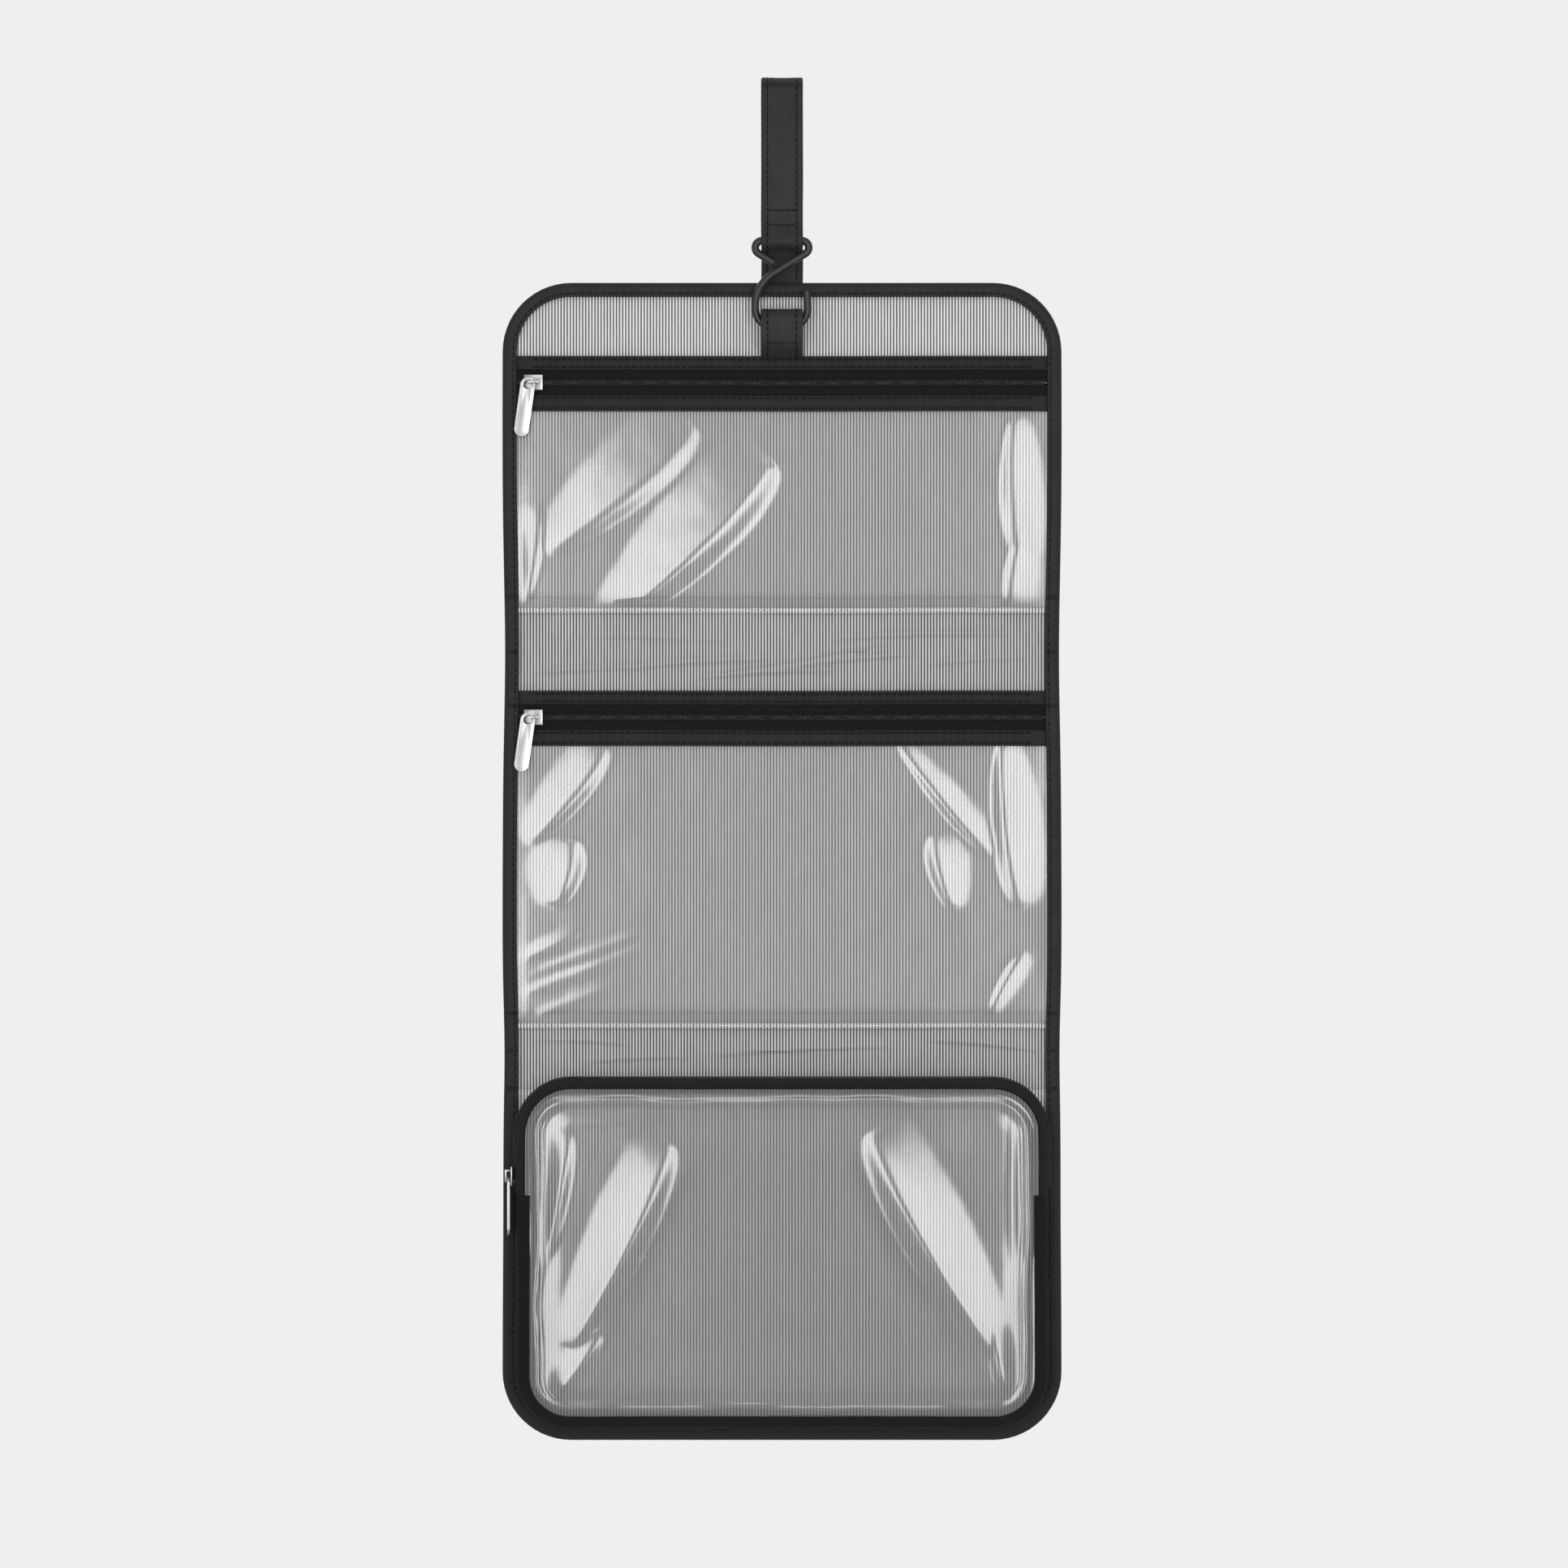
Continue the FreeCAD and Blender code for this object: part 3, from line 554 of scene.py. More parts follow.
# %% Bindings round the panels
FOLD_REACH = 7 * MM
BINDING_CORNER = 31.0 * MM
SWELL_LENGTH, SWELL_DEPTH = 8.64 * MM, 0.10 * MM
C_SECTION = [
    (-6.6, 0.15), (-5.9, -0.02), (-5.0, 0.18), (-3.2, -0.30), (-1.4, -0.20), (-0.35, 0.75),
    (0.0, 2.5), (-0.35, 4.25), (-1.4, 5.15), (-3.0, 5.25), (-4.6, 4.90), (-6.6, 4.95),
    (-6.55, 4.45), (-2.0, 4.40), (-0.9, 3.9), (-0.6, 2.5), (-0.9, 1.1), (-2.0, 0.55),
    (-4.6, 0.62), (-6.55, 0.65)]
C_SECTION = [(outset * MM, y * MM) for outset, y in C_SECTION]
round_runs = (("upper", "upper_panel", upper_low + FOLD_REACH, upper_high),
              ("pouch", "pouch", pouch_top - FOLD_REACH, pouch_low))


def pucker(bm):
    """The small swells between stitches on the front and back of a binding."""
    for v in bm.verts:
        along = v.co.z if abs(v.co.x) > half_bag - 8 * MM else v.co.x
        swell = math.sin(math.tau * along / SWELL_LENGTH) + noise.noise(v.co * 160.0)
        v.co.y += SWELL_DEPTH * swell * (-1 if v.co.y < 2.5 * MM else 1)


for place, body, z_start, z_far in round_runs:
    bm = bmesh.new()
    draw_outline(bm, C_SECTION, half_bag, z_start, z_far, BINDING_CORNER)
    pucker(bm)
    finished(bm, place + "_edge_binding", binding_nylon, body, [place + "_binding"], capped=True)

# %% [markdown]
# Down the sides of the middle panel and over the fold strips the bindings are short straight runs.
# A run that crosses a fold is made in two halves, one each side of its fold line.

# %% Straight bindings, in halves over the folds
RUN_STEP = 1.6 * MM
folds = {"upper": ("upper_panel", "upper_fold_strip", "middle_panel", upper_low, middle_top),
         "lower": ("middle_panel", "lower_fold_strip", "pouch", middle_low, pouch_top)}


def halves(fold):
    """A fold strip's two halves: a word, its top and bottom, its two bodies and its fold line."""
    above, strip, below, z_high, z_low = folds[fold]
    halfway = (z_high + z_low) / 2
    return (("top", z_high + FOLD_REACH, halfway, above, strip, z_high),
            ("bottom", halfway, z_low - FOLD_REACH, strip, below, z_low))


def bend_over(piece, body_a, body_b, line_z):
    """The piece's place is baked into its mesh. It is not bent across the fold line."""
    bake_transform(piece)


def side_run(name, sign, z_high, z_low, body, stands_for):
    """One straight length of binding on the left (-1) or right (+1) side."""
    bm = bmesh.new()
    edges = section_edges(bm, [(sign * (half_bag + outset), y, z_high) for outset, y in C_SECTION])
    draw_straight(bm, edges, (0, 0, z_low - z_high), RUN_STEP)
    pucker(bm)
    return finished(bm, name, binding_nylon, body, stands_for, capped=True)


for side, sign in (("left", -1), ("right", 1)):
    side_run("middle_side_binding_" + side, sign, middle_top - FOLD_REACH, middle_low + FOLD_REACH,
             "middle_panel", ["middle_binding_" + side])
    for fold in folds:
        for word, high, low, body_a, body_b, line in halves(fold):
            stands = [fold + "_fold_binding_" + side] if word == "top" else []
            run = side_run(f"{fold}_fold_edge_{word}_{side}", sign, high, low, None, stands)
            bend_over(run, body_a, body_b, line)

# %% [markdown]
# ## Padded panels
# Each panel is shell cloth behind, a thin sheet of foam, and striped lining in front, sewn together
# at the edges. It is one soft slab, made as a closed box of small square cells. Where the panel is
# rounded, each ring of cells near a corner is drawn in to a round one.

# %% A slab with rounded corners
SLAB_CELL = 4 * MM


def inside_corner(x, z, half_width, end_z, radius, up):
    """The nearest point of a rounded panel to a point near one of its corners."""
    cx, cz = math.copysign(half_width - radius, x), end_z - up * radius
    dx, dz = x - cx, z - cz
    if dx * math.copysign(1, x) <= 0 or dz * up <= 0:
        return x, z
    scale = max(abs(dx), abs(dz)) / math.hypot(dx, dz)
    return cx + dx * scale, cz + dz * scale


def round_off(bm, half_width, ends, radius):
    """Draws in the corners at the ends, each given as its z and its way out, up (1) or down (-1)."""
    for v in bm.verts:
        for end_z, up in ends:
            v.co.x, v.co.z = inside_corner(v.co.x, v.co.z, half_width, end_z, radius, up)


def upright_grid(x_low, x_high, z_low, z_high, y, cell):
    """A flat sheet of small square cells facing the front."""
    bm = bmesh.new()
    wide, tall = x_high - x_low, z_high - z_low
    place = Matrix.Translation(((x_low + x_high) / 2, y, (z_low + z_high) / 2))
    upright = place @ Matrix.Rotation(math.radians(90), 4, "X") @ Matrix.Diagonal((wide, tall, 1, 1))
    bmesh.ops.create_grid(bm, x_segments=max(2, round(wide / cell)), size=0.5, matrix=upright,
                          y_segments=max(2, round(tall / cell)))
    return bm


def soft_slab(z_low, z_high, y_front, y_back, half_width, round_ends):
    """A closed slab of square cells, its corners drawn in where the panel is rounded."""
    bm = upright_grid(-half_width, half_width, z_low, z_high, y_back, SLAB_CELL)
    grown = bmesh.ops.extrude_face_region(bm, geom=bm.faces[:])["geom"]
    bmesh.ops.translate(bm, verts=verts_of(grown), vec=(0, y_front - y_back, 0))
    round_off(bm, half_width, round_ends, BINDING_CORNER - 0.6 * MM)
    return bm


print("slab cells", SLAB_CELL * 1000, "mm")

# %% [markdown]
# A short cloth simulation with a little pressure in it plumps the slab between its seams, as foam
# does. How far a point may move is held to a cap: little at the front, since the pockets lie
# against it, and more at the back.

# %% Plumping by simulation
PLUMP_FRAMES = 16
CLOTH_SETTINGS = {
    "quality": 4, "mass": 0.25, "tension_stiffness": 12, "compression_stiffness": 12,
    "bending_stiffness": 0.6, "use_pressure": True, "uniform_pressure_force": 4.0,
    "vertex_group_mass": "sewn"}


def plumped(piece, held, front_cap, back_cap):
    """Plumps the slab, with the points named by held kept where they are."""
    rest = [v.co.copy() for v in piece.data.vertices]
    group = piece.vertex_groups.new(name="sewn")
    group.add([i for i, co in enumerate(rest) if held(co)], 1.0, "REPLACE")
    cloth = piece.modifiers.new("plump", "CLOTH")
    for setting, value in CLOTH_SETTINGS.items():
        setattr(cloth.settings, setting, value)
    cloth.settings.effector_weights.gravity = 0.0
    cloth.collision_settings.use_collision = False
    cloth.point_cache.frame_start, cloth.point_cache.frame_end = 1, PLUMP_FRAMES
    for frame_number in range(1, PLUMP_FRAMES + 1):
        scene.frame_set(frame_number)
    evaluated = piece.evaluated_get(bpy.context.evaluated_depsgraph_get())
    moved = [v.co.copy() for v in evaluated.data.vertices]
    piece.modifiers.remove(cloth)
    scene.frame_set(1)
    most = 0.0
    for vertex, before, after in zip(piece.data.vertices, rest, moved):
        dy = after.y - before.y if math.isfinite(after.y) else 0.0
        limit = back_cap if dy > 0 else front_cap
        dy = math.tanh(dy / limit) * limit
        vertex.co = Vector((before.x, before.y + dy, before.z))
        most = max(most, abs(dy))
    piece.vertex_groups.remove(group)
    print(piece.name, "plumped by", round(most * 1000, 2), "mm")


print("plumping takes", PLUMP_FRAMES, "frames a panel")

# %% [markdown]
# The three slabs are held under their bindings and at the fold lines, and the top one is also held
# where the strap is sewn down its back. The back faces are shell nylon and the front is lining.

# %% The three panels
HELD_EDGE, HELD_STRAP = 7 * MM, 12 * MM
lining_y, shell_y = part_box("upper_lining")[0].y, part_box("upper_shell")[1].y
slab_half, slab_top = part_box("upper_shell")[1].x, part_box("upper_shell")[1].z
slab_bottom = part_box("pouch_shell")[0].z
strap_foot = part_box("hang_strap")[0].z
panels = {"upper": ("upper_panel", upper_low + FOLD_REACH, slab_top, [(slab_top, 1)]),
          "middle": ("middle_panel", middle_low + FOLD_REACH, middle_top - FOLD_REACH, []),
          "pouch": ("pouch", slab_bottom, pouch_top - FOLD_REACH, [(slab_bottom, -1)])}

for panel, (body, z_low, z_high, round_ends) in panels.items():
    def held(co, panel=panel, z_low=z_low, z_high=z_high):
        """Which points don't move."""
        edge = min(slab_half - abs(co.x), z_high - co.z, co.z - z_low) < HELD_EDGE
        strap = abs(co.x) < HELD_STRAP and co.z > strap_foot - 5 * MM
        return edge or (panel == "upper" and strap)

    bm = soft_slab(z_low, z_high, lining_y, shell_y, slab_half, round_ends)
    slab = finished(bm, panel + "_padded_panel", striped_lining, None,
                    [panel + "_shell", panel + "_foam", panel + "_lining"], soft=False)
    slab.data.materials.append(shell_nylon)
    for face in slab.data.polygons:
        face.material_index = 0 if face.normal.y < -0.5 else 1
        face.use_smooth = abs(face.normal.y) > 0.5
    plumped(slab, held, 0.12 * MM, 1.3 * MM)
    for v in slab.data.vertices:
        v.co = settled(v.co)
    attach(slab, body)
    print(slab.name, "is", round((z_high - z_low) * 1000, 1), "mm tall")

# %% [markdown]
# The fold strips have only the two cloths, so they crease when the bag is folded, and the creases
# stay. Each crease is a low rounded ridge along a slanting line, high in its middle and dying away
# at its ends. The front cloth is the striped lining in darker colours, which is painted shade, and
# the back one is shell nylon.

# %% Creased fold strips
CREASE_GAIN, CREASE_MOST = 2.1, 1.7 * MM
# For each crease: its two ends (x, z), its width and its height, all in mm.
CREASES = {
    "upper": [((-75, -262), (2, -257.5), 3.4, 0.9), ((-40, -266.5), (28, -262.5), 2.0, 1.1),
              ((-20, -264), (62, -255.5), 2.4, 1.5), ((10, -259), (55, -253), 2.0, 0.8),
              ((20, -248.5), (112, -246.5), 2.6, 0.9), ((-118, -264.5), (-60, -262), 2.6, 0.7),
              ((60, -261), (118, -257), 3.2, 0.6), ((-100, -247), (-20, -250), 4.5, 0.5)],
    "lower": [((-115, -431), (-70, -433), 2.4, 0.6), ((-35, -438), (52, -434), 3.2, 0.6),
              ((66, -431), (118, -436), 2.6, 0.8), ((-90, -441), (-40, -439), 2.0, 0.5)]}


def beside(x, z, start, end):
    """How far along a line a point is, as a share of it, and how far off to its left."""
    ax, az = end[0] - start[0], end[1] - start[1]
    dx, dz, length = x - start[0], z - start[1], math.hypot(ax, az)
    return (dx * ax + dz * az) / length ** 2, (dz * ax - dx * az) / length


def ridge(x, z, start, end, width, height):
    """The height of a long, slightly bowed crease at x, z. Its left side is the softer one."""
    along, off = beside(x, z, start, end)
    swell = math.sin(math.pi * share_of(along))
    off -= 0.9 * swell
    width *= 0.8 if off > 0 else 0.225
    return height * swell ** 0.6 * math.exp(-(off / width) ** 2)


def creased(fold, x, z):
    """How far the strip's cloth stands forward at x, z."""
    total = sum(ridge(x / MM, z / MM, *crease) for crease in CREASES[fold])
    return (total + noise.noise(Vector((x * 22.0, 1.0, z * 60.0))) * 0.35) * MM


def brought_forward(bm, relief):
    """Moves a sheet's points forward by a relief rule."""
    for v in bm.verts:
        v.co.y -= relief(v.co.x, v.co.z)


def thickened(piece, thickness):
    """Gives a sheet its thickness, half each side of the face that was drawn."""
    wall = piece.modifiers.new("cloth_thickness", "SOLIDIFY")
    wall.thickness = thickness
    wall.offset = 0.0
    wall.use_rim = False


cloths = (("lining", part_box("upper_fold_lining")[0].y, shaded_fold_lining, 1.0, 0.9 * MM),
          ("shell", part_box("upper_fold_shell")[1].y, shell_nylon, 0.45, 1.5 * MM))
for fold, (*_, z_high, z_low) in folds.items():
    for cloth, y, finish, share, cell in cloths:
        def relief(x, z, fold=fold, share=share, z_high=z_high, z_low=z_low):
            edge = share_of((slab_half - 5 * MM - abs(x)) / (8 * MM))
            ends = share_of((min(z_high - z, z - z_low) + FOLD_REACH) / (6 * MM))
            return min(CREASE_MOST, creased(fold, x, z) * CREASE_GAIN) * edge * ends * share

        for word, high, low, body_a, body_b, line in halves(fold):
            bm = upright_grid(-slab_half, slab_half, low, high, y, cell)
            brought_forward(bm, relief)
            stands = [f"{fold}_fold_{cloth}"] if word == "top" else []
            piece = finished(bm, f"{fold}_fold_{cloth}_{word}", finish, None, stands)
            thickened(piece, 0.4 * MM)
            bend_over(piece, body_a, body_b, line)

# %% [markdown]
# ## Zips
# A flat zip is two black facings, two tapes and two coils. Each facing is nylon folded in half, so
# its section is a soft flattened tube. The tapes show as a narrow step beside the coil.

# %% Facings, tapes and hems
STRIP_STEP = 2.2 * MM
FACING_LIFT = 0.62 * MM


def strip_across(name, node, finish, body, lift=0.0):
    """A soft strip along X in the place of a CAD strip, its face a little uneven."""
    low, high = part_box(node)
    middle = (low.y + high.y) / 2
    bm = bmesh.new()
    section = flat_section(low.z, high.z, high.y - low.y, lift)
    edges = section_edges(bm, [(low.x, middle - off, z) for z, off in section])
    draw_straight(bm, edges, (high.x - low.x, 0, 0), STRIP_STEP)
    for v in bm.verts:
        v.co.y += noise.noise(v.co * 90.0) * 0.15 * MM
        if lift:
            v.co.y += noise.noise(v.co * 240.0) * 0.22 * MM
    finished(bm, name, finish, body, [node], capped=True)


for panel in ("upper", "middle"):
    body = panel + "_panel"
    for row in ("top", "bottom"):
        strip_across(f"{panel}_zip_{row}_facing", f"{panel}_zip_facing_{row}", facing_nylon, body,
                     FACING_LIFT)
        strip_across(f"{panel}_zip_{row}_tape", f"{panel}_zip_tape_{row}", zip_tape_cloth, body)
    strip_across(panel + "_pocket_sewn_hem", panel + "_pocket_hem", striped_lining, body)

# %% [markdown]
# A coil is one nylon wire wound round and round, squashed a little flat. A small circle spun with a
# shift along the axis makes it. The two rows are half a turn apart, so their loops mesh.

# %% Coils
COIL_PITCH, COIL_WIRE, ROW_OFFSET = 1.25 * MM, 0.24 * MM, 0.72 * MM
SPUN_TURNS, STEPS_A_TURN = 8, 9


def everything(bm):
    return bm.verts[:] + bm.edges[:] + bm.faces[:]


def wound_wire(length, radius_across, radius_deep, sign):
    """A coil along +X from x 0: across is Z and deep is Y. The row with sign -1 is half a turn on.

    Eight turns are spun, and doubled end to end until they are long enough."""
    bm = bmesh.new()
    place = Matrix.Translation((0 if sign > 0 else COIL_PITCH / 2, 0, radius_across))
    ring = bmesh.ops.create_circle(bm, cap_ends=False, radius=COIL_WIRE, segments=5,
                                   matrix=place @ Matrix.Rotation(math.radians(90), 4, "X"))["verts"]
    edges = list({e for v in ring for e in v.link_edges})
    bmesh.ops.spin(bm, geom=ring + edges, cent=(0, 0, 0), axis=(1, 0, 0),
                   dvec=(COIL_PITCH / STEPS_A_TURN, 0, 0), angle=math.tau * SPUN_TURNS,
                   steps=SPUN_TURNS * STEPS_A_TURN, use_duplicate=False)
    turns = SPUN_TURNS
    while turns * COIL_PITCH < length:
        copy = bmesh.ops.duplicate(bm, geom=everything(bm))["geom"]
        bmesh.ops.translate(bm, verts=verts_of(copy), vec=(turns * COIL_PITCH, 0, 0))
        turns *= 2
    bmesh.ops.bisect_plane(bm, geom=everything(bm), plane_co=(length, 0, 0), plane_no=(1, 0, 0),
                           clear_outer=True)
    bmesh.ops.remove_doubles(bm, verts=bm.verts, dist=0.01 * MM)
    bmesh.ops.scale(bm, vec=(1, radius_deep / radius_across, 1), verts=bm.verts)
    return bm


for panel in ("upper", "middle"):
    boxes = [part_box(f"{panel}_zip_coil_{row}") for row in ("top", "bottom")]
    zip_middle = sum(corner.z for box in boxes for corner in box) / 4
    for row, sign, (low, high) in (("top", 1, boxes[0]), ("bottom", -1, boxes[1])):
        bm = wound_wire(high.x - low.x - COIL_PITCH, 0.80 * MM, 0.52 * MM, sign)
        bmesh.ops.translate(bm, verts=bm.verts,
                            vec=(low.x, 0.15 * MM, zip_middle + sign * ROW_OFFSET))
        finished(bm, f"{panel}_zip_{row}_coil", zip_coil_nylon, panel + "_panel",
                 [f"{panel}_zip_coil_{row}"])

# %% [markdown]
# Stitches hold it all. Each is a short bar of thread standing a little proud, set slightly askew, as
# a lockstitch lies. One small cube a stitch is enough, with all their edges rounded at the end.

# %% Stitching
STITCH_PITCH = 3.2 * MM
TO_FRONT, TO_BACK = (0, -1, 0), Y_AXIS


def spread(start, end, step):
    """Even places from start up to, but not at, end."""
    count = round(abs(end - start) / step)
    return [start + (end - start) * i / count for i in range(count)]


def outline_path(half_width, z_start, z_far, radius, outset, step=0.5 * MM):
    """Points (x, z) down the left side, across and up the right side of a rounded outline."""
    down = -1.0 if z_far < z_start else 1.0
    turn_z, inner, reach = z_far - down * radius, half_width - radius, radius + outset
    points = [(-inner - reach, z) for z in spread(z_start, turn_z, step)]
    points += [(-inner - reach * math.cos(a), turn_z + down * reach * math.sin(a))
               for a in spread(0.0, math.pi / 2, step / reach)]
    points += [(x, z_far + down * outset) for x in spread(-inner, 0.0, step)]
    return points + [(-x, z) for x, z in reversed(points)]


def spaced(points, pitch):
    """Places one pitch apart along a line of points, each with the way the line runs there."""
    due, travelled = pitch / 2, 0.0
    for a, b in zip(points, points[1:]):
        a, b = Vector(a), Vector(b)
        leg = (b - a).length
        while leg > 0 and due <= travelled + leg:
            run = (b - a) / leg
            yield a + run * (due - travelled), run
            due += pitch
        travelled += leg


def stitch(bm, at, turn, size):
    """One bar of thread at a place."""
    bmesh.ops.create_cube(bm, size=MM,
                          matrix=Matrix.Translation(at) @ turn @ Matrix.Diagonal((*size, 1)))


def turned(run, facing):
    """The turn of a stitch that lies along run with its top looking along facing."""
    return Matrix((run, facing.cross(run), facing)).transposed().to_4x4()


def sew(bm, points, facing=TO_FRONT, pitch=STITCH_PITCH, size=(2.2, 0.48, 0.36)):
    """A row of stitches along a line of points, on a face that looks along facing."""
    facing = Vector(facing)
    for at, run in spaced(points, pitch):
        askew = (run + facing.cross(run) * 0.10).normalized()
        stitch(bm, settled(at), turned(askew, facing), size)


def sewn(bm, name, body, finish=black_thread):
    """The stitches, with their edges rounded, as a piece."""
    bmesh.ops.bevel(bm, geom=bm.edges[:], offset=0.11 * MM, offset_type="OFFSET", segments=1,
                    profile=0.5, affect="EDGES", material=-1)
    return finished(bm, name, finish, body, soft=False)


print("stitches", STITCH_PITCH * 1000, "mm apart")

# %% [markdown]
# The bindings have a row front and back. The facings have two rows each, the clear thread under a
# window is paler, and the strap's foot is sewn through the back of the top panel.

# %% Stitch rows on the panels
ROW_OUTSET = -5.0 * MM
FACES = ((0.02 * MM, TO_FRONT), (5.02 * MM, TO_BACK))
END_ROOM = 7 * MM


def sew_sides(bm, high, low):
    """The binding's rows down both sides, front and back."""
    for x in (-half_bag - ROW_OUTSET, half_bag + ROW_OUTSET):
        for y, facing in FACES:
            sew(bm, [(x, y, high), (x, y, low)], facing)


for place, body, z_start, z_far in round_runs:
    bm = bmesh.new()
    path = outline_path(half_bag, z_start, z_far, BINDING_CORNER, ROW_OUTSET)
    for y, facing in FACES:
        sew(bm, [(x, y, z) for x, z in path], facing)
    if place == "upper":
        for z in (-112.6, -102.6):
            foot_row = [(x * MM, 6.5 * MM, z * MM) for x in (-8.5, 8.5)]
            sew(bm, foot_row, TO_BACK, 2.6 * MM, (1.8, 0.4, 0.3))
    sewn(bm, "upper_panel_stitches" if place == "upper" else "pouch_back_stitches", body)

for panel in ("upper", "middle"):
    bm = bmesh.new()
    for row in ("top", "bottom"):
        low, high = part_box(f"{panel}_zip_facing_{row}")
        front = low.y - 0.26 * MM
        for z in (low.z + ROW_INSET, high.z - ROW_INSET):
            sew(bm, [(low.x + END_ROOM, front, z), (high.x - END_ROOM, front, z)],
                size=(2.2, 0.66, 0.42))
    if panel == "middle":
        sew_sides(bm, middle_top - FOLD_REACH, middle_low + FOLD_REACH)
    sewn(bm, panel + "_zip_stitches", panel + "_panel")
    bm = bmesh.new()
    low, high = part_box(panel + "_pocket_hem")
    front, z = low.y - 0.1 * MM, high.z - 1.2 * MM
    sew(bm, [(low.x + END_ROOM, front, z), (high.x - END_ROOM, front, z)],
        pitch=2.7 * MM, size=(1.9, 0.5, 0.36))
    sewn(bm, panel + "_pocket_clear_stitches", panel + "_panel", clear_thread)

for fold in folds:
    for word, high, low, body_a, body_b, line in halves(fold):
        bm = bmesh.new()
        sew_sides(bm, high, low)
        bend_over(sewn(bm, f"{fold}_fold_{word}_stitches", None), body_a, body_b, line)

# %% [markdown]
# ## Pocket windows
# The vinyl was rolled up in its packet and keeps long soft swells. They are what catch the light: a
# slope of five degrees is enough. Each swell is a tilted leaf shape along a slanting line. The
# swells die away where the vinyl is sewn.

# %% Windows of the flat pockets
def leaf(x, z, start, end, half, height):
    """The height of a tilted swell: it rises slowly across one side and drops away at the other.

    A positive half rises to the right, and a negative one to the left."""
    along, left = beside(x, z, start, end)
    across = (-left if end[1] > start[1] else left) / half
    if not 0 < along < 1 or not -1.3 < across < 1.3:
        return 0.0
    swell = math.sin(math.pi * along) ** 0.55
    across /= (0.50 + 0.50 * swell) * (0.72 + 0.45 * along)
    rise = share_of((across + 1) / 1.55) ** 1.25
    return height * swell * rise * eased((1.25 - across) / 0.70)


# For each swell: its two ends (x, z), its half width and its height, all in mm.
SWELLS = {
    "upper": [((-82, -239), (-10, -163), 19, 3.2), ((-110, -206), (-44, -147), 17, 1.9),
              ((-119, -232), (-114, -188), 7, 0.8), ((108, -147), (113, -212), -11, 1.3),
              ((112, -196), (108, -236), -8, 0.9)],
    "middle": [((-117, -340), (-84, -295), 11, 1.5), ((-106, -370), (-102, -338), 13, 1.7),
               ((-118, -409), (-56, -384), 4.5, 0.8), ((-114, -400), (-58, -379), 3.2, 0.6),
               ((-119, -393), (-92, -380), 4.5, 0.8), ((-112, -418), (-70, -402), 4, 0.6),
               ((54, -294), (98, -346), -7, 1.2), ((103, -294), (113, -370), -12, 1.9),
               ((80, -371), (74, -336), -10, 1.5), ((96, -419), (112, -392), -5, 0.8)]}
VINYL_CELL, FLATTENED = 1.5 * MM, 0.15


def swollen(leaves, x, z):
    """How far the vinyl stands forward at x, z."""
    most = max(leaf(x / MM, z / MM, *shape) for shape in leaves)
    return (most + noise.noise(Vector((x * 14.0, 7.0, z * 14.0))) * 0.35) * MM


for panel, fold_joint in (("upper", "upper_fold_bottom"), ("middle", "lower_fold_top")):
    low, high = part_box(panel + "_window")
    middle = (low.y + high.y) / 2

    def relief(x, z, panel=panel, low=low, high=high):
        edge = min(x - low.x, high.x - x, high.z - z, z - low.z)
        return swollen(SWELLS[panel], x, z) * eased(edge / (5 * MM))

    bm = upright_grid(low.x, high.x, low.z, high.z, middle, VINYL_CELL)
    brought_forward(bm, relief)
    window = finished(bm, panel + "_pocket_clear_window", pocket_vinyl, panel + "_panel",
                      [panel + "_window"])
    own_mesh(window)

# %% [markdown]
# ## The pouch
# The box pouch has a black wall, sewn inside the binding and leaning in to the clear front. Its
# lower part is one gusset with its own striped lining; its upper part is the zip, with a strip of
# lining cloth behind it. The wall is drawn as one section round the outline and given its thickness.

# %% Walls of the pouch
WALL_HALF, WALL_CORNER, ZIP_END = 120.4 * MM, 24.4 * MM, -500 * MM
LEAN_FROM, LEAN, TAPE_SEAM = -13 * MM, 6.5 * MM, -15.9 * MM
NARROWEST_SHEET = 10.1 * MM
gusset_low, gusset_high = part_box("pouch_gusset")
wall_low, wall_back, wall_top = gusset_low.z, gusset_high.y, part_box("pouch_zip_tape_front")[1].z
front_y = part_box("pouch_window")[1].y


def lean(y):
    """How far in the wall has leaned at a depth."""
    return -LEAN * max(0.0, (LEAN_FROM - y) / (LEAN_FROM - front_y))


def pouch_wall(name, node, z_far, y_from, y_to, finish, inset=0.0, crumple=0.5, thick=0.7):
    """An open strip of wall between two depths, round the outline. Crumple and thick are in mm."""
    rows = max(3, round(abs(y_to - y_from) / (1.7 * MM)))
    depths = [y_from + (y_to - y_from) * i / rows for i in range(rows + 1)]
    bm = bmesh.new()
    length = draw_outline(bm, [(lean(y) - inset, y) for y in depths], WALL_HALF, ZIP_END, z_far,
                          WALL_CORNER, corner_steps=12, closed=False)
    for v in bm.verts:
        out_way = Vector((v.co.x, 0, v.co.z - (wall_low + wall_top) / 2)).normalized()
        slack = 0.35 + math.sin(math.pi * share_of(abs(v.co.y - y_from) / abs(y_to - y_from)))
        v.co += out_way * (noise.noise(v.co * 70.0) * crumple * slack - 0.3) * MM
    width = max(NARROWEST_SHEET, sum(f.calc_area() for f in bm.faces) / length)
    piece = finished(bm, name, finish, "pouch", [node] if node else [])
    if thick:
        thickened(piece, thick * MM)
    print(name, "is cut", round(length * 1000), "by", round(width * 1000, 1), "mm")


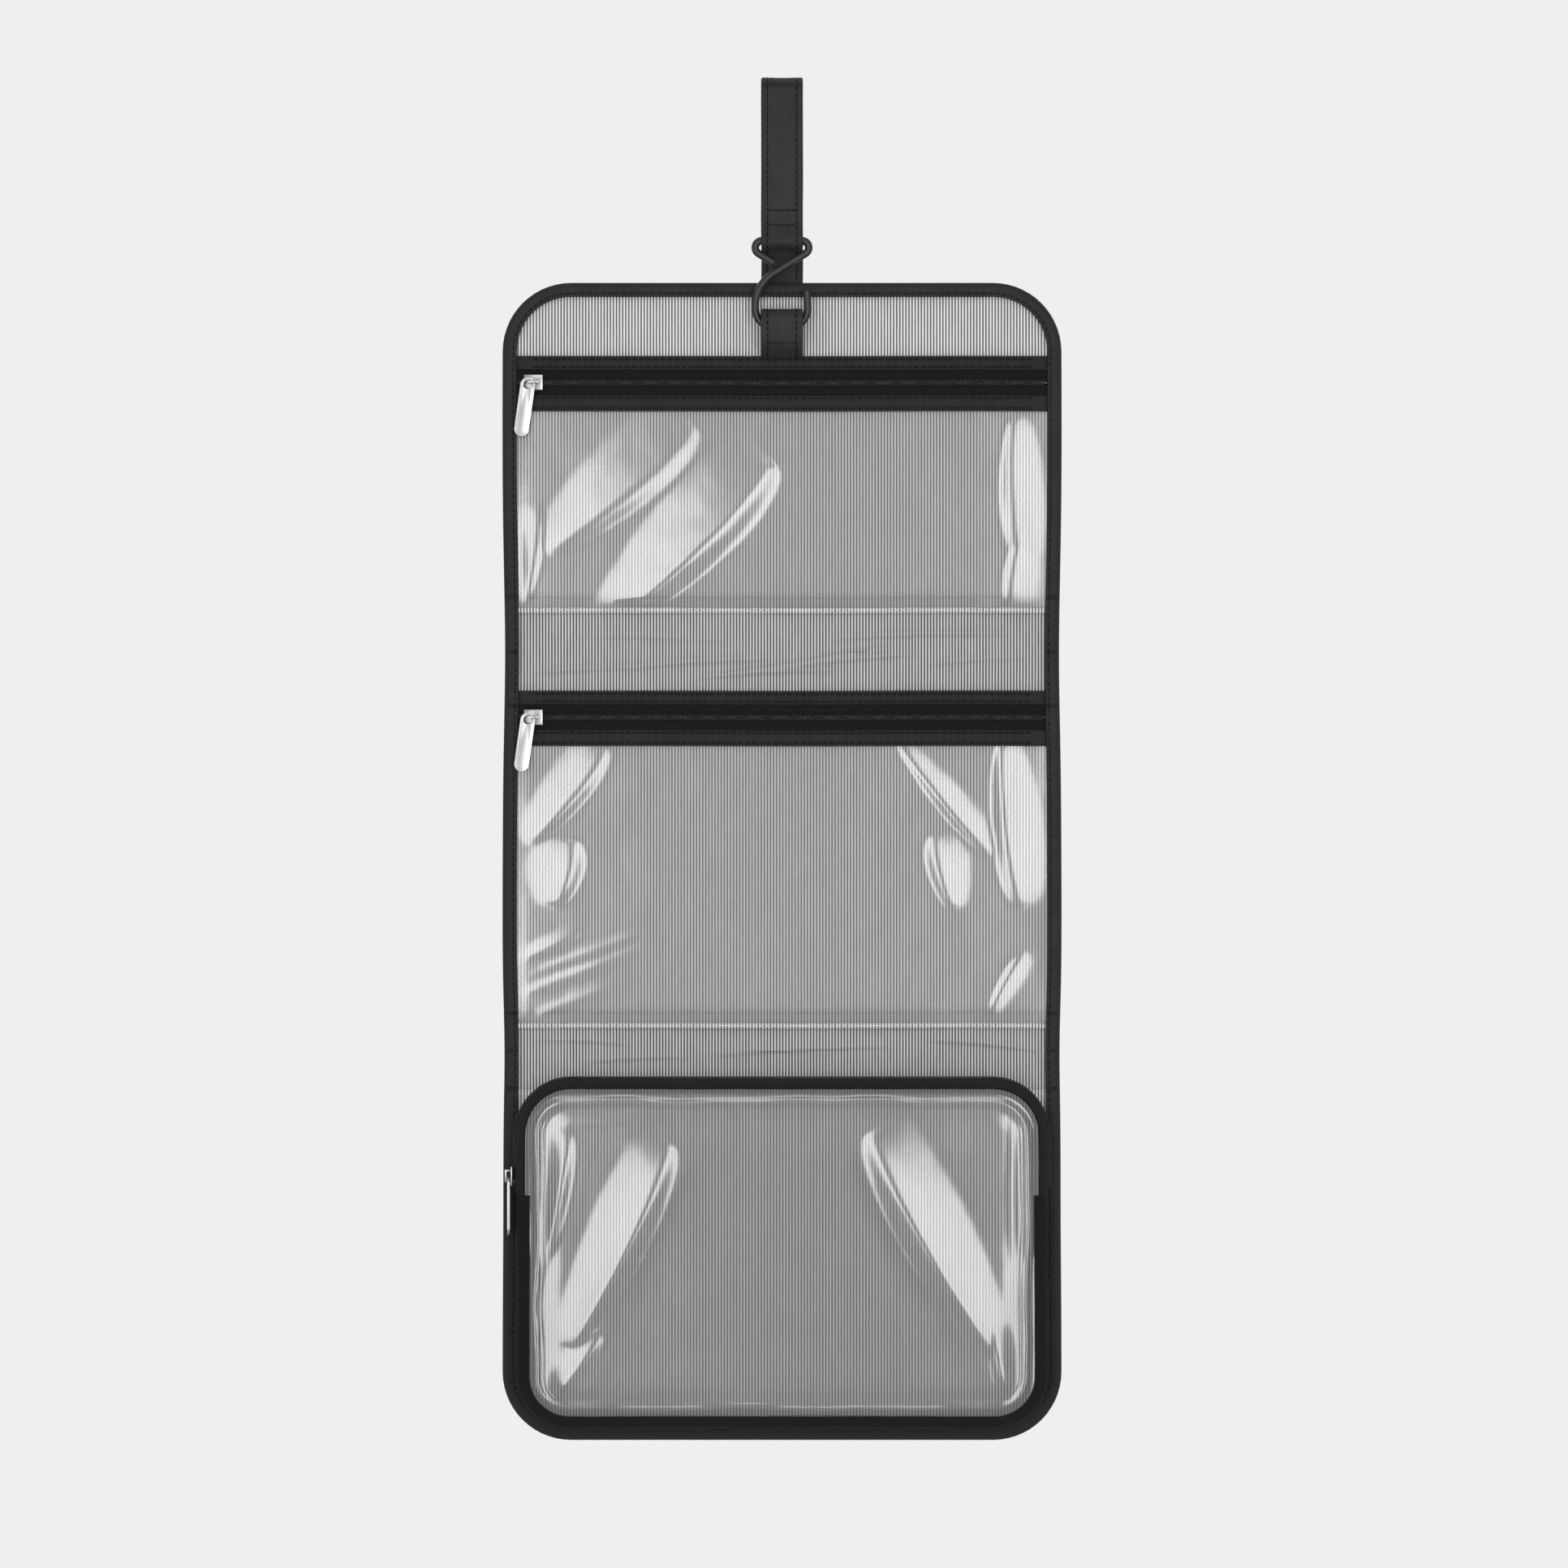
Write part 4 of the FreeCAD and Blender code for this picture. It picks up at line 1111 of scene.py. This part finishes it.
# The side wall's darker nylon is painted shade.
pouch_wall("pouch_black_gusset", "pouch_gusset", wall_low, wall_back, front_y, shaded_gusset_nylon)
pouch_wall("pouch_gusset_inner_cloth", "pouch_gusset_lining", wall_low, wall_back, LEAN_FROM,
           striped_lining, inset=1.2 * MM, thick=0.4)
low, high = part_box("pouch_zip_strip")
pouch_wall("pouch_strip_behind_zip", "pouch_zip_strip", wall_top, high.y, low.y, striped_lining,
           crumple=0.2)
low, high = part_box("pouch_zip_tape_back")
pouch_wall("pouch_zip_back_tape", "pouch_zip_tape_back", wall_top, high.y, low.y, zip_tape_cloth,
           crumple=0.2)
pouch_wall("pouch_zip_front_tape", "pouch_zip_tape_front", wall_top,
           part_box("pouch_zip_tape_front")[1].y, TAPE_SEAM, zip_tape_cloth, crumple=0.3)
pouch_wall("pouch_clear_turned_edge", None, wall_top, TAPE_SEAM, front_y, lightened_pouch_vinyl,
           crumple=0.8, thick=0.0)

# %% [markdown]
# The pouch's coils are wound straight and then laid along the zip's own path. Each point keeps its
# distance from the wire's axis, and the axis follows the path down, across and up.

# %% Coils round the pouch
def wrapped_round(bm, path, y_middle):
    """A straight coil laid along a path of (x, z) points; its Z becomes the way out."""
    legs = [math.dist(a, b) for a, b in zip(path, path[1:])]
    starts = [0.0]
    for leg in legs:
        starts.append(starts[-1] + leg)
    for v in bm.verts:
        s = min(max(v.co.x, 0.0), starts[-1] * 0.99999)
        i = bisect.bisect_right(starts, s) - 1
        (ax, az), (bx, bz) = path[i], path[i + 1]
        run_x, run_z, t = (bx - ax) / legs[i], (bz - az) / legs[i], s - starts[i]
        v.co = (ax + run_x * t - run_z * v.co.z, y_middle + v.co.y, az + run_z * t + run_x * v.co.z)


zip_path = outline_path(WALL_HALF, ZIP_END + 1 * MM, wall_top, WALL_CORNER, 0.45 * MM, 1.0 * MM)
zip_length = sum(math.dist(a, b) for a, b in zip(zip_path, zip_path[1:]))
coil_middle = (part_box("pouch_zip_coil_back")[0].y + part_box("pouch_zip_coil_front")[1].y) / 2
for row, sign in (("back", 1), ("front", -1)):
    bm = wound_wire(zip_length - COIL_PITCH, 0.60 * MM, 0.80 * MM, sign)
    wrapped_round(bm, zip_path, coil_middle + sign * ROW_OFFSET)
    finished(bm, f"pouch_zip_{row}_coil", zip_coil_nylon, "pouch", ["pouch_zip_coil_" + row])
print("pouch zip is", round(zip_length * 1000), "mm long")

# %% [markdown]
# The clear front is sewn to the wall with its edge turned, so a soft welt runs all round it and
# catches the light as a bright line. Inside that the vinyl has a few large swells of its own.

# %% Front of the pouch
PANE_SWELLS = [
    ((-98, -568), (-56, -474), 14, 2.6), ((-115, -545), (-100, -470), 9, 1.6),
    ((-110, -598), (-84, -560), 7, 1.2), ((100, -572), (46, -468), -16, 3.0),
    ((96, -550), (106, -596), -7, 1.3), ((106, -458), (108, -540), -5, 0.8),
    ((-104, -467), (-14, -457), 5, 0.7)]
PANE_CORNER = 17.9 * MM
WELT_INSET, WELT_HEIGHT, WELT_WIDTH = 3.4 * MM, 1.5 * MM, 1.5 * MM
pane_low, pane_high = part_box("pouch_window")
pane_y = (pane_low.y + pane_high.y) / 2


def rounded_depth(x, z):
    """How far inside the pane's rounded outline a point is."""
    middle, half_height = (pane_low.z + pane_high.z) / 2, (pane_high.z - pane_low.z) / 2
    dx, dz = abs(x) - pane_high.x + PANE_CORNER, abs(z - middle) - half_height + PANE_CORNER
    return PANE_CORNER - math.hypot(max(dx, 0), max(dz, 0)) - min(max(dx, dz), 0)


def pane_relief(x, z):
    """How far the pouch's clear front stands forward at x, z."""
    depth = rounded_depth(x, z)
    welt_line = WELT_INSET + noise.noise(Vector((x * 30, 0, z * 30))) * 1.5 * MM
    welt = WELT_HEIGHT * math.exp(-((depth - welt_line) / WELT_WIDTH) ** 2)
    return welt + (swollen(PANE_SWELLS, x, z) + 1.0 * MM) * eased((depth - 3 * MM) / (12 * MM))


bm = upright_grid(-pane_high.x, pane_high.x, pane_low.z, pane_high.z, pane_y, VINYL_CELL)
round_off(bm, pane_high.x, [(pane_high.z, 1), (pane_low.z, -1)], PANE_CORNER)
brought_forward(bm, pane_relief)
pane = finished(bm, "pouch_clear_front", lightened_pouch_vinyl, "pouch", ["pouch_window"])
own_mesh(pane)

# %% [markdown]
# ## Strap and loop
# The strap is nylon folded to four layers and stitched near both edges. It goes from the back of the
# panel over the top and down the front, round the hook's bar and back on itself. One section drawn
# along that path makes it in one piece, and two cross rows of stitches close the sleeve.

# %% Strap section drawn along a path
ACROSS = Vector((1, 0, 0))


def draw_path(bm, section, path):
    """A section of (x, out) points drawn along a smooth path of (y, z) points."""
    frames = []
    for i, (y, z) in enumerate(path):
        before, after = path[max(0, i - 1)], path[min(len(path) - 1, i + 1)]
        run = Vector((0, after[0] - before[0], after[1] - before[1])).normalized()
        turn = Matrix((ACROSS, ACROSS.cross(run), run)).transposed().to_4x4()
        frames.append(Matrix.Translation((0, y, z)) @ turn)
    edges = section_edges(bm, [frames[0] @ Vector((x, out, 0)) for x, out in section])
    for here, there in zip(frames, frames[1:]):
        fresh, edges = extruded(bm, edges)
        bmesh.ops.transform(bm, matrix=there @ here.inverted(), verts=fresh)


def smooth_path(points, step):
    """A denser path through the points, in mm, rounded at each as a spline would be."""
    points = [Vector((0, y * MM, z * MM)) for y, z in points]
    path = []
    for i in range(len(points) - 1):
        a, b, c, d = (points[min(len(points) - 1, max(0, i + k))] for k in (-1, 0, 1, 2))
        n = max(2, round((c - b).length / step))
        for t in (k / n for k in range(n)):
            p = 0.5 * (2 * b + (c - a) * t + (2 * a - 5 * b + 4 * c - d) * t * t
                       + (3 * b - a - 3 * c + d) * t ** 3)
            path.append((p.y, p.z))
    return path + [(points[-1].y, points[-1].z)]


def arc(y, z, radius, degrees):
    """Points (y, z) round a centre, at angles that start at the back and turn upwards."""
    return [(y + radius * math.cos(a), z + radius * math.sin(a)) for a in map(math.radians, degrees)]


def strap_section(half, row):
    """A flat strap's section with a shallow groove under each stitch row."""
    h = STRAP_THICK / 2
    stations = [(half - 0.25 * MM, 0.75), (half - 0.9 * MM, 1.05), (row + 1.0 * MM, 1.12),
                (row, 0.55), (row - 1.1 * MM, 1.05), (half * 0.3, 0.85)]
    right = [(x, h * k) for x, k in stations]
    top = right + [(-x, out) for x, out in reversed(right)]
    return [(half, 0.0)] + top + [(-half, 0.0)] + [(x, -out) for x, out in reversed(top)]


BAR = (-5.0, -68.2)
STRAP_THICK, STRAP_ROW, LOOP_ROW = 1.35 * MM, 6.65 * MM, 6.5 * MM
strap_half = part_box("hang_strap")[1].x
strap_points = [(5.7, -114.6), (5.7, -90), (5.75, -60), (5.7, -30), (5.7, 0)]
strap_points += arc(0, 0, 5.7, range(20, 180, 20))
strap_points += [(-5.7, 0), (-5.75, -30), (-5.7, -55), (-5.75, -61)]
strap_points += arc(*BAR, 2.75, range(150, 390, 20)) + [(-4.25, -62), (-4.25, -54.4)]
strap_path = smooth_path(strap_points, 1.2 * MM)
bm = bmesh.new()
draw_path(bm, strap_section(strap_half, STRAP_ROW), strap_path)
for v in bm.verts:
    v.co.x += noise.noise(Vector((0, v.co.y * 20, v.co.z * 45))) * 0.25 * MM
    v.co.y += noise.noise(v.co * 55.0) * 0.22 * MM
finished(bm, "hanging_strap", strap_nylon, "upper_panel", ["hang_strap"], capped=True)
strap_length = sum(math.dist(a, b) for a, b in zip(strap_path, strap_path[1:]))
print("strap is", round(strap_length * 1000), "mm long")

# %% [markdown]
# The loop on the panel is the same folded nylon, shorter. Both its ends go under the zip's facing.

# %% Loop that the hook closes in
loop_points = [(-0.2, -120.4), (-3.4, -118.6), (-7.2, -115.4), (-9.0, -111), (-9.25, -107.5)]
loop_points += arc(-5, -104, 4.3, range(180, -1, -20))
loop_points += [(-0.75, -108), (-0.7, -112), (0.6, -117), (1.2, -120.2)]
loop_path = smooth_path(loop_points, 0.9 * MM)
bm = bmesh.new()
draw_path(bm, strap_section(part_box("anchor_loop")[1].x, LOOP_ROW), loop_path)
for v in bm.verts:
    v.co.y += noise.noise(v.co * 80.0) * 0.10 * MM
    if v.co.y < -9.35 * MM:
        v.co.y += 0.25 * MM * (1 - (v.co.x / strap_half) ** 2)
finished(bm, "loop_on_panel", strap_nylon, "upper_panel", ["anchor_loop"], capped=True)

# %% [markdown]
# The strap has a row near each edge on both faces, and the loop has them outside only. No stitch
# goes near the hook's bar, where the sleeve is open. Cross rows close the sleeve and hold the loop.

# %% Stitches on the strap and loop
BAR_ROOM = 3.1 * MM
CROSS_STITCH, CROSS_X = (2.0, 0.34, 0.45), (-5.2, -2.6, 0.0, 2.6, 5.2)


def sew_path(bm, path, x, side=1):
    """A row of stitches along a (y, z) path, on one face of the strap."""
    for at, run in spaced([(x, y, z) for y, z in path], 2.9 * MM):
        out = ACROSS.cross(run) * side
        at += out * (STRAP_THICK / 2 + 0.02 * MM)
        if math.hypot(at.y - BAR[0] * MM, at.z - BAR[1] * MM) > BAR_ROOM:
            stitch(bm, at, turned(run, out), (2.0, 0.45, 0.34))


bm = bmesh.new()
for x in (-STRAP_ROW, STRAP_ROW):
    for side in (-1, 1):
        sew_path(bm, strap_path, x, side)
for x in (-LOOP_ROW, LOOP_ROW):
    sew_path(bm, loop_path, x)
for x in CROSS_X:
    for z in (-54.6, -61.2):
        stitch(bm, (x * MM, -6.45 * MM, z * MM), Matrix.Rotation(0.08, 4, "Y"), CROSS_STITCH)
    stitch(bm, (x * MM, (-8.5 + 0.25 * (1 - (x / 9.5) ** 2)) * MM, -114.7 * MM),
           Matrix.Rotation(0.7, 4, "X"), CROSS_STITCH)
sewn(bm, "strap_stitches", "upper_panel")

# %% [markdown]
# ## Metal
# The sliders and pulls are cast. The pull's face is sunk a little inside a raised rim, which runs
# round the eye as well, and every sharp edge is eased, as tumbling does. The CAD shapes are the
# start: their flat faces are joined up, the face is inset and its edges bevelled.

# %% Sliders, bails and pulls
RIM, SUNK = 0.55 * MM, 0.14 * MM
SHARP = math.radians(32)


def casting(node, name, body, ease, across=None):
    """A cast piece from a CAD shape: eased edges, and a sunk face each way along across."""
    bm = bmesh.new()
    bm.from_mesh(frame["nodes"][node].data)
    bmesh.ops.remove_doubles(bm, verts=bm.verts, dist=0.004 * MM)
    for way in (across, -across) if across else ():
        flat = [f for f in bm.faces if f.normal.dot(way) > 0.995]
        level = max(f.calc_center_median().dot(way) for f in flat)
        flat = [f for f in flat if f.calc_center_median().dot(way) > level - 0.02 * MM]
        bmesh.ops.inset_region(bm, faces=flat, thickness=RIM, depth=-SUNK, use_boundary=True,
                               use_even_offset=True)
    sharp = [e for e in bm.edges if len(e.link_faces) == 2 and e.calc_face_angle(0.0) > SHARP]
    bmesh.ops.bevel(bm, geom=sharp, offset=ease, offset_type="OFFSET", segments=2, profile=0.5,
                    affect="EDGES", material=-1, clamp_overlap=True)
    return finished(bm, name, nickel, body, [node], soft=False)


def domed(piece, low, high):
    """A slider's front falls away towards its nose, as a casting's does."""
    for v in piece.data.vertices:
        if v.co.y < low.y + 0.9 * MM:
            v.co.y += 0.35 * MM * (1 - (v.co.x - low.x) / (high.x - low.x)) ** 2


for place in ("upper", "middle", "pouch"):
    slider = casting(place + "_slider_body", place + "_cast_slider", place + "_slider", 0.22 * MM)
    casting(place + "_slider_bail", place + "_slider_bridge", place + "_slider", 0.16 * MM)
    casting(place + "_pull_tab", place + "_cast_pull", place + "_pull", 0.10 * MM,
            ACROSS if place == "pouch" else Vector(Y_AXIS))
    if place != "pouch":
        domed(slider, *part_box(place + "_slider_body"))

# %% [markdown]
# The hook is one bent wire. The CAD sweep is already round and true, so it is shown as it is, with
# its coat.

# %% Hook
hook = frame["nodes"]["hook"]
hook.data.materials.clear()
hook.data.materials.append(hook_coat)
print("hook", len(hook.data.polygons), "faces")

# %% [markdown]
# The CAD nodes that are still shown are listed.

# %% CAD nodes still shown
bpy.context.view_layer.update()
shown = [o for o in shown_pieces() if o.get("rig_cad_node") and not o.hide_render]
print("CAD nodes still shown", [o.name for o in shown])
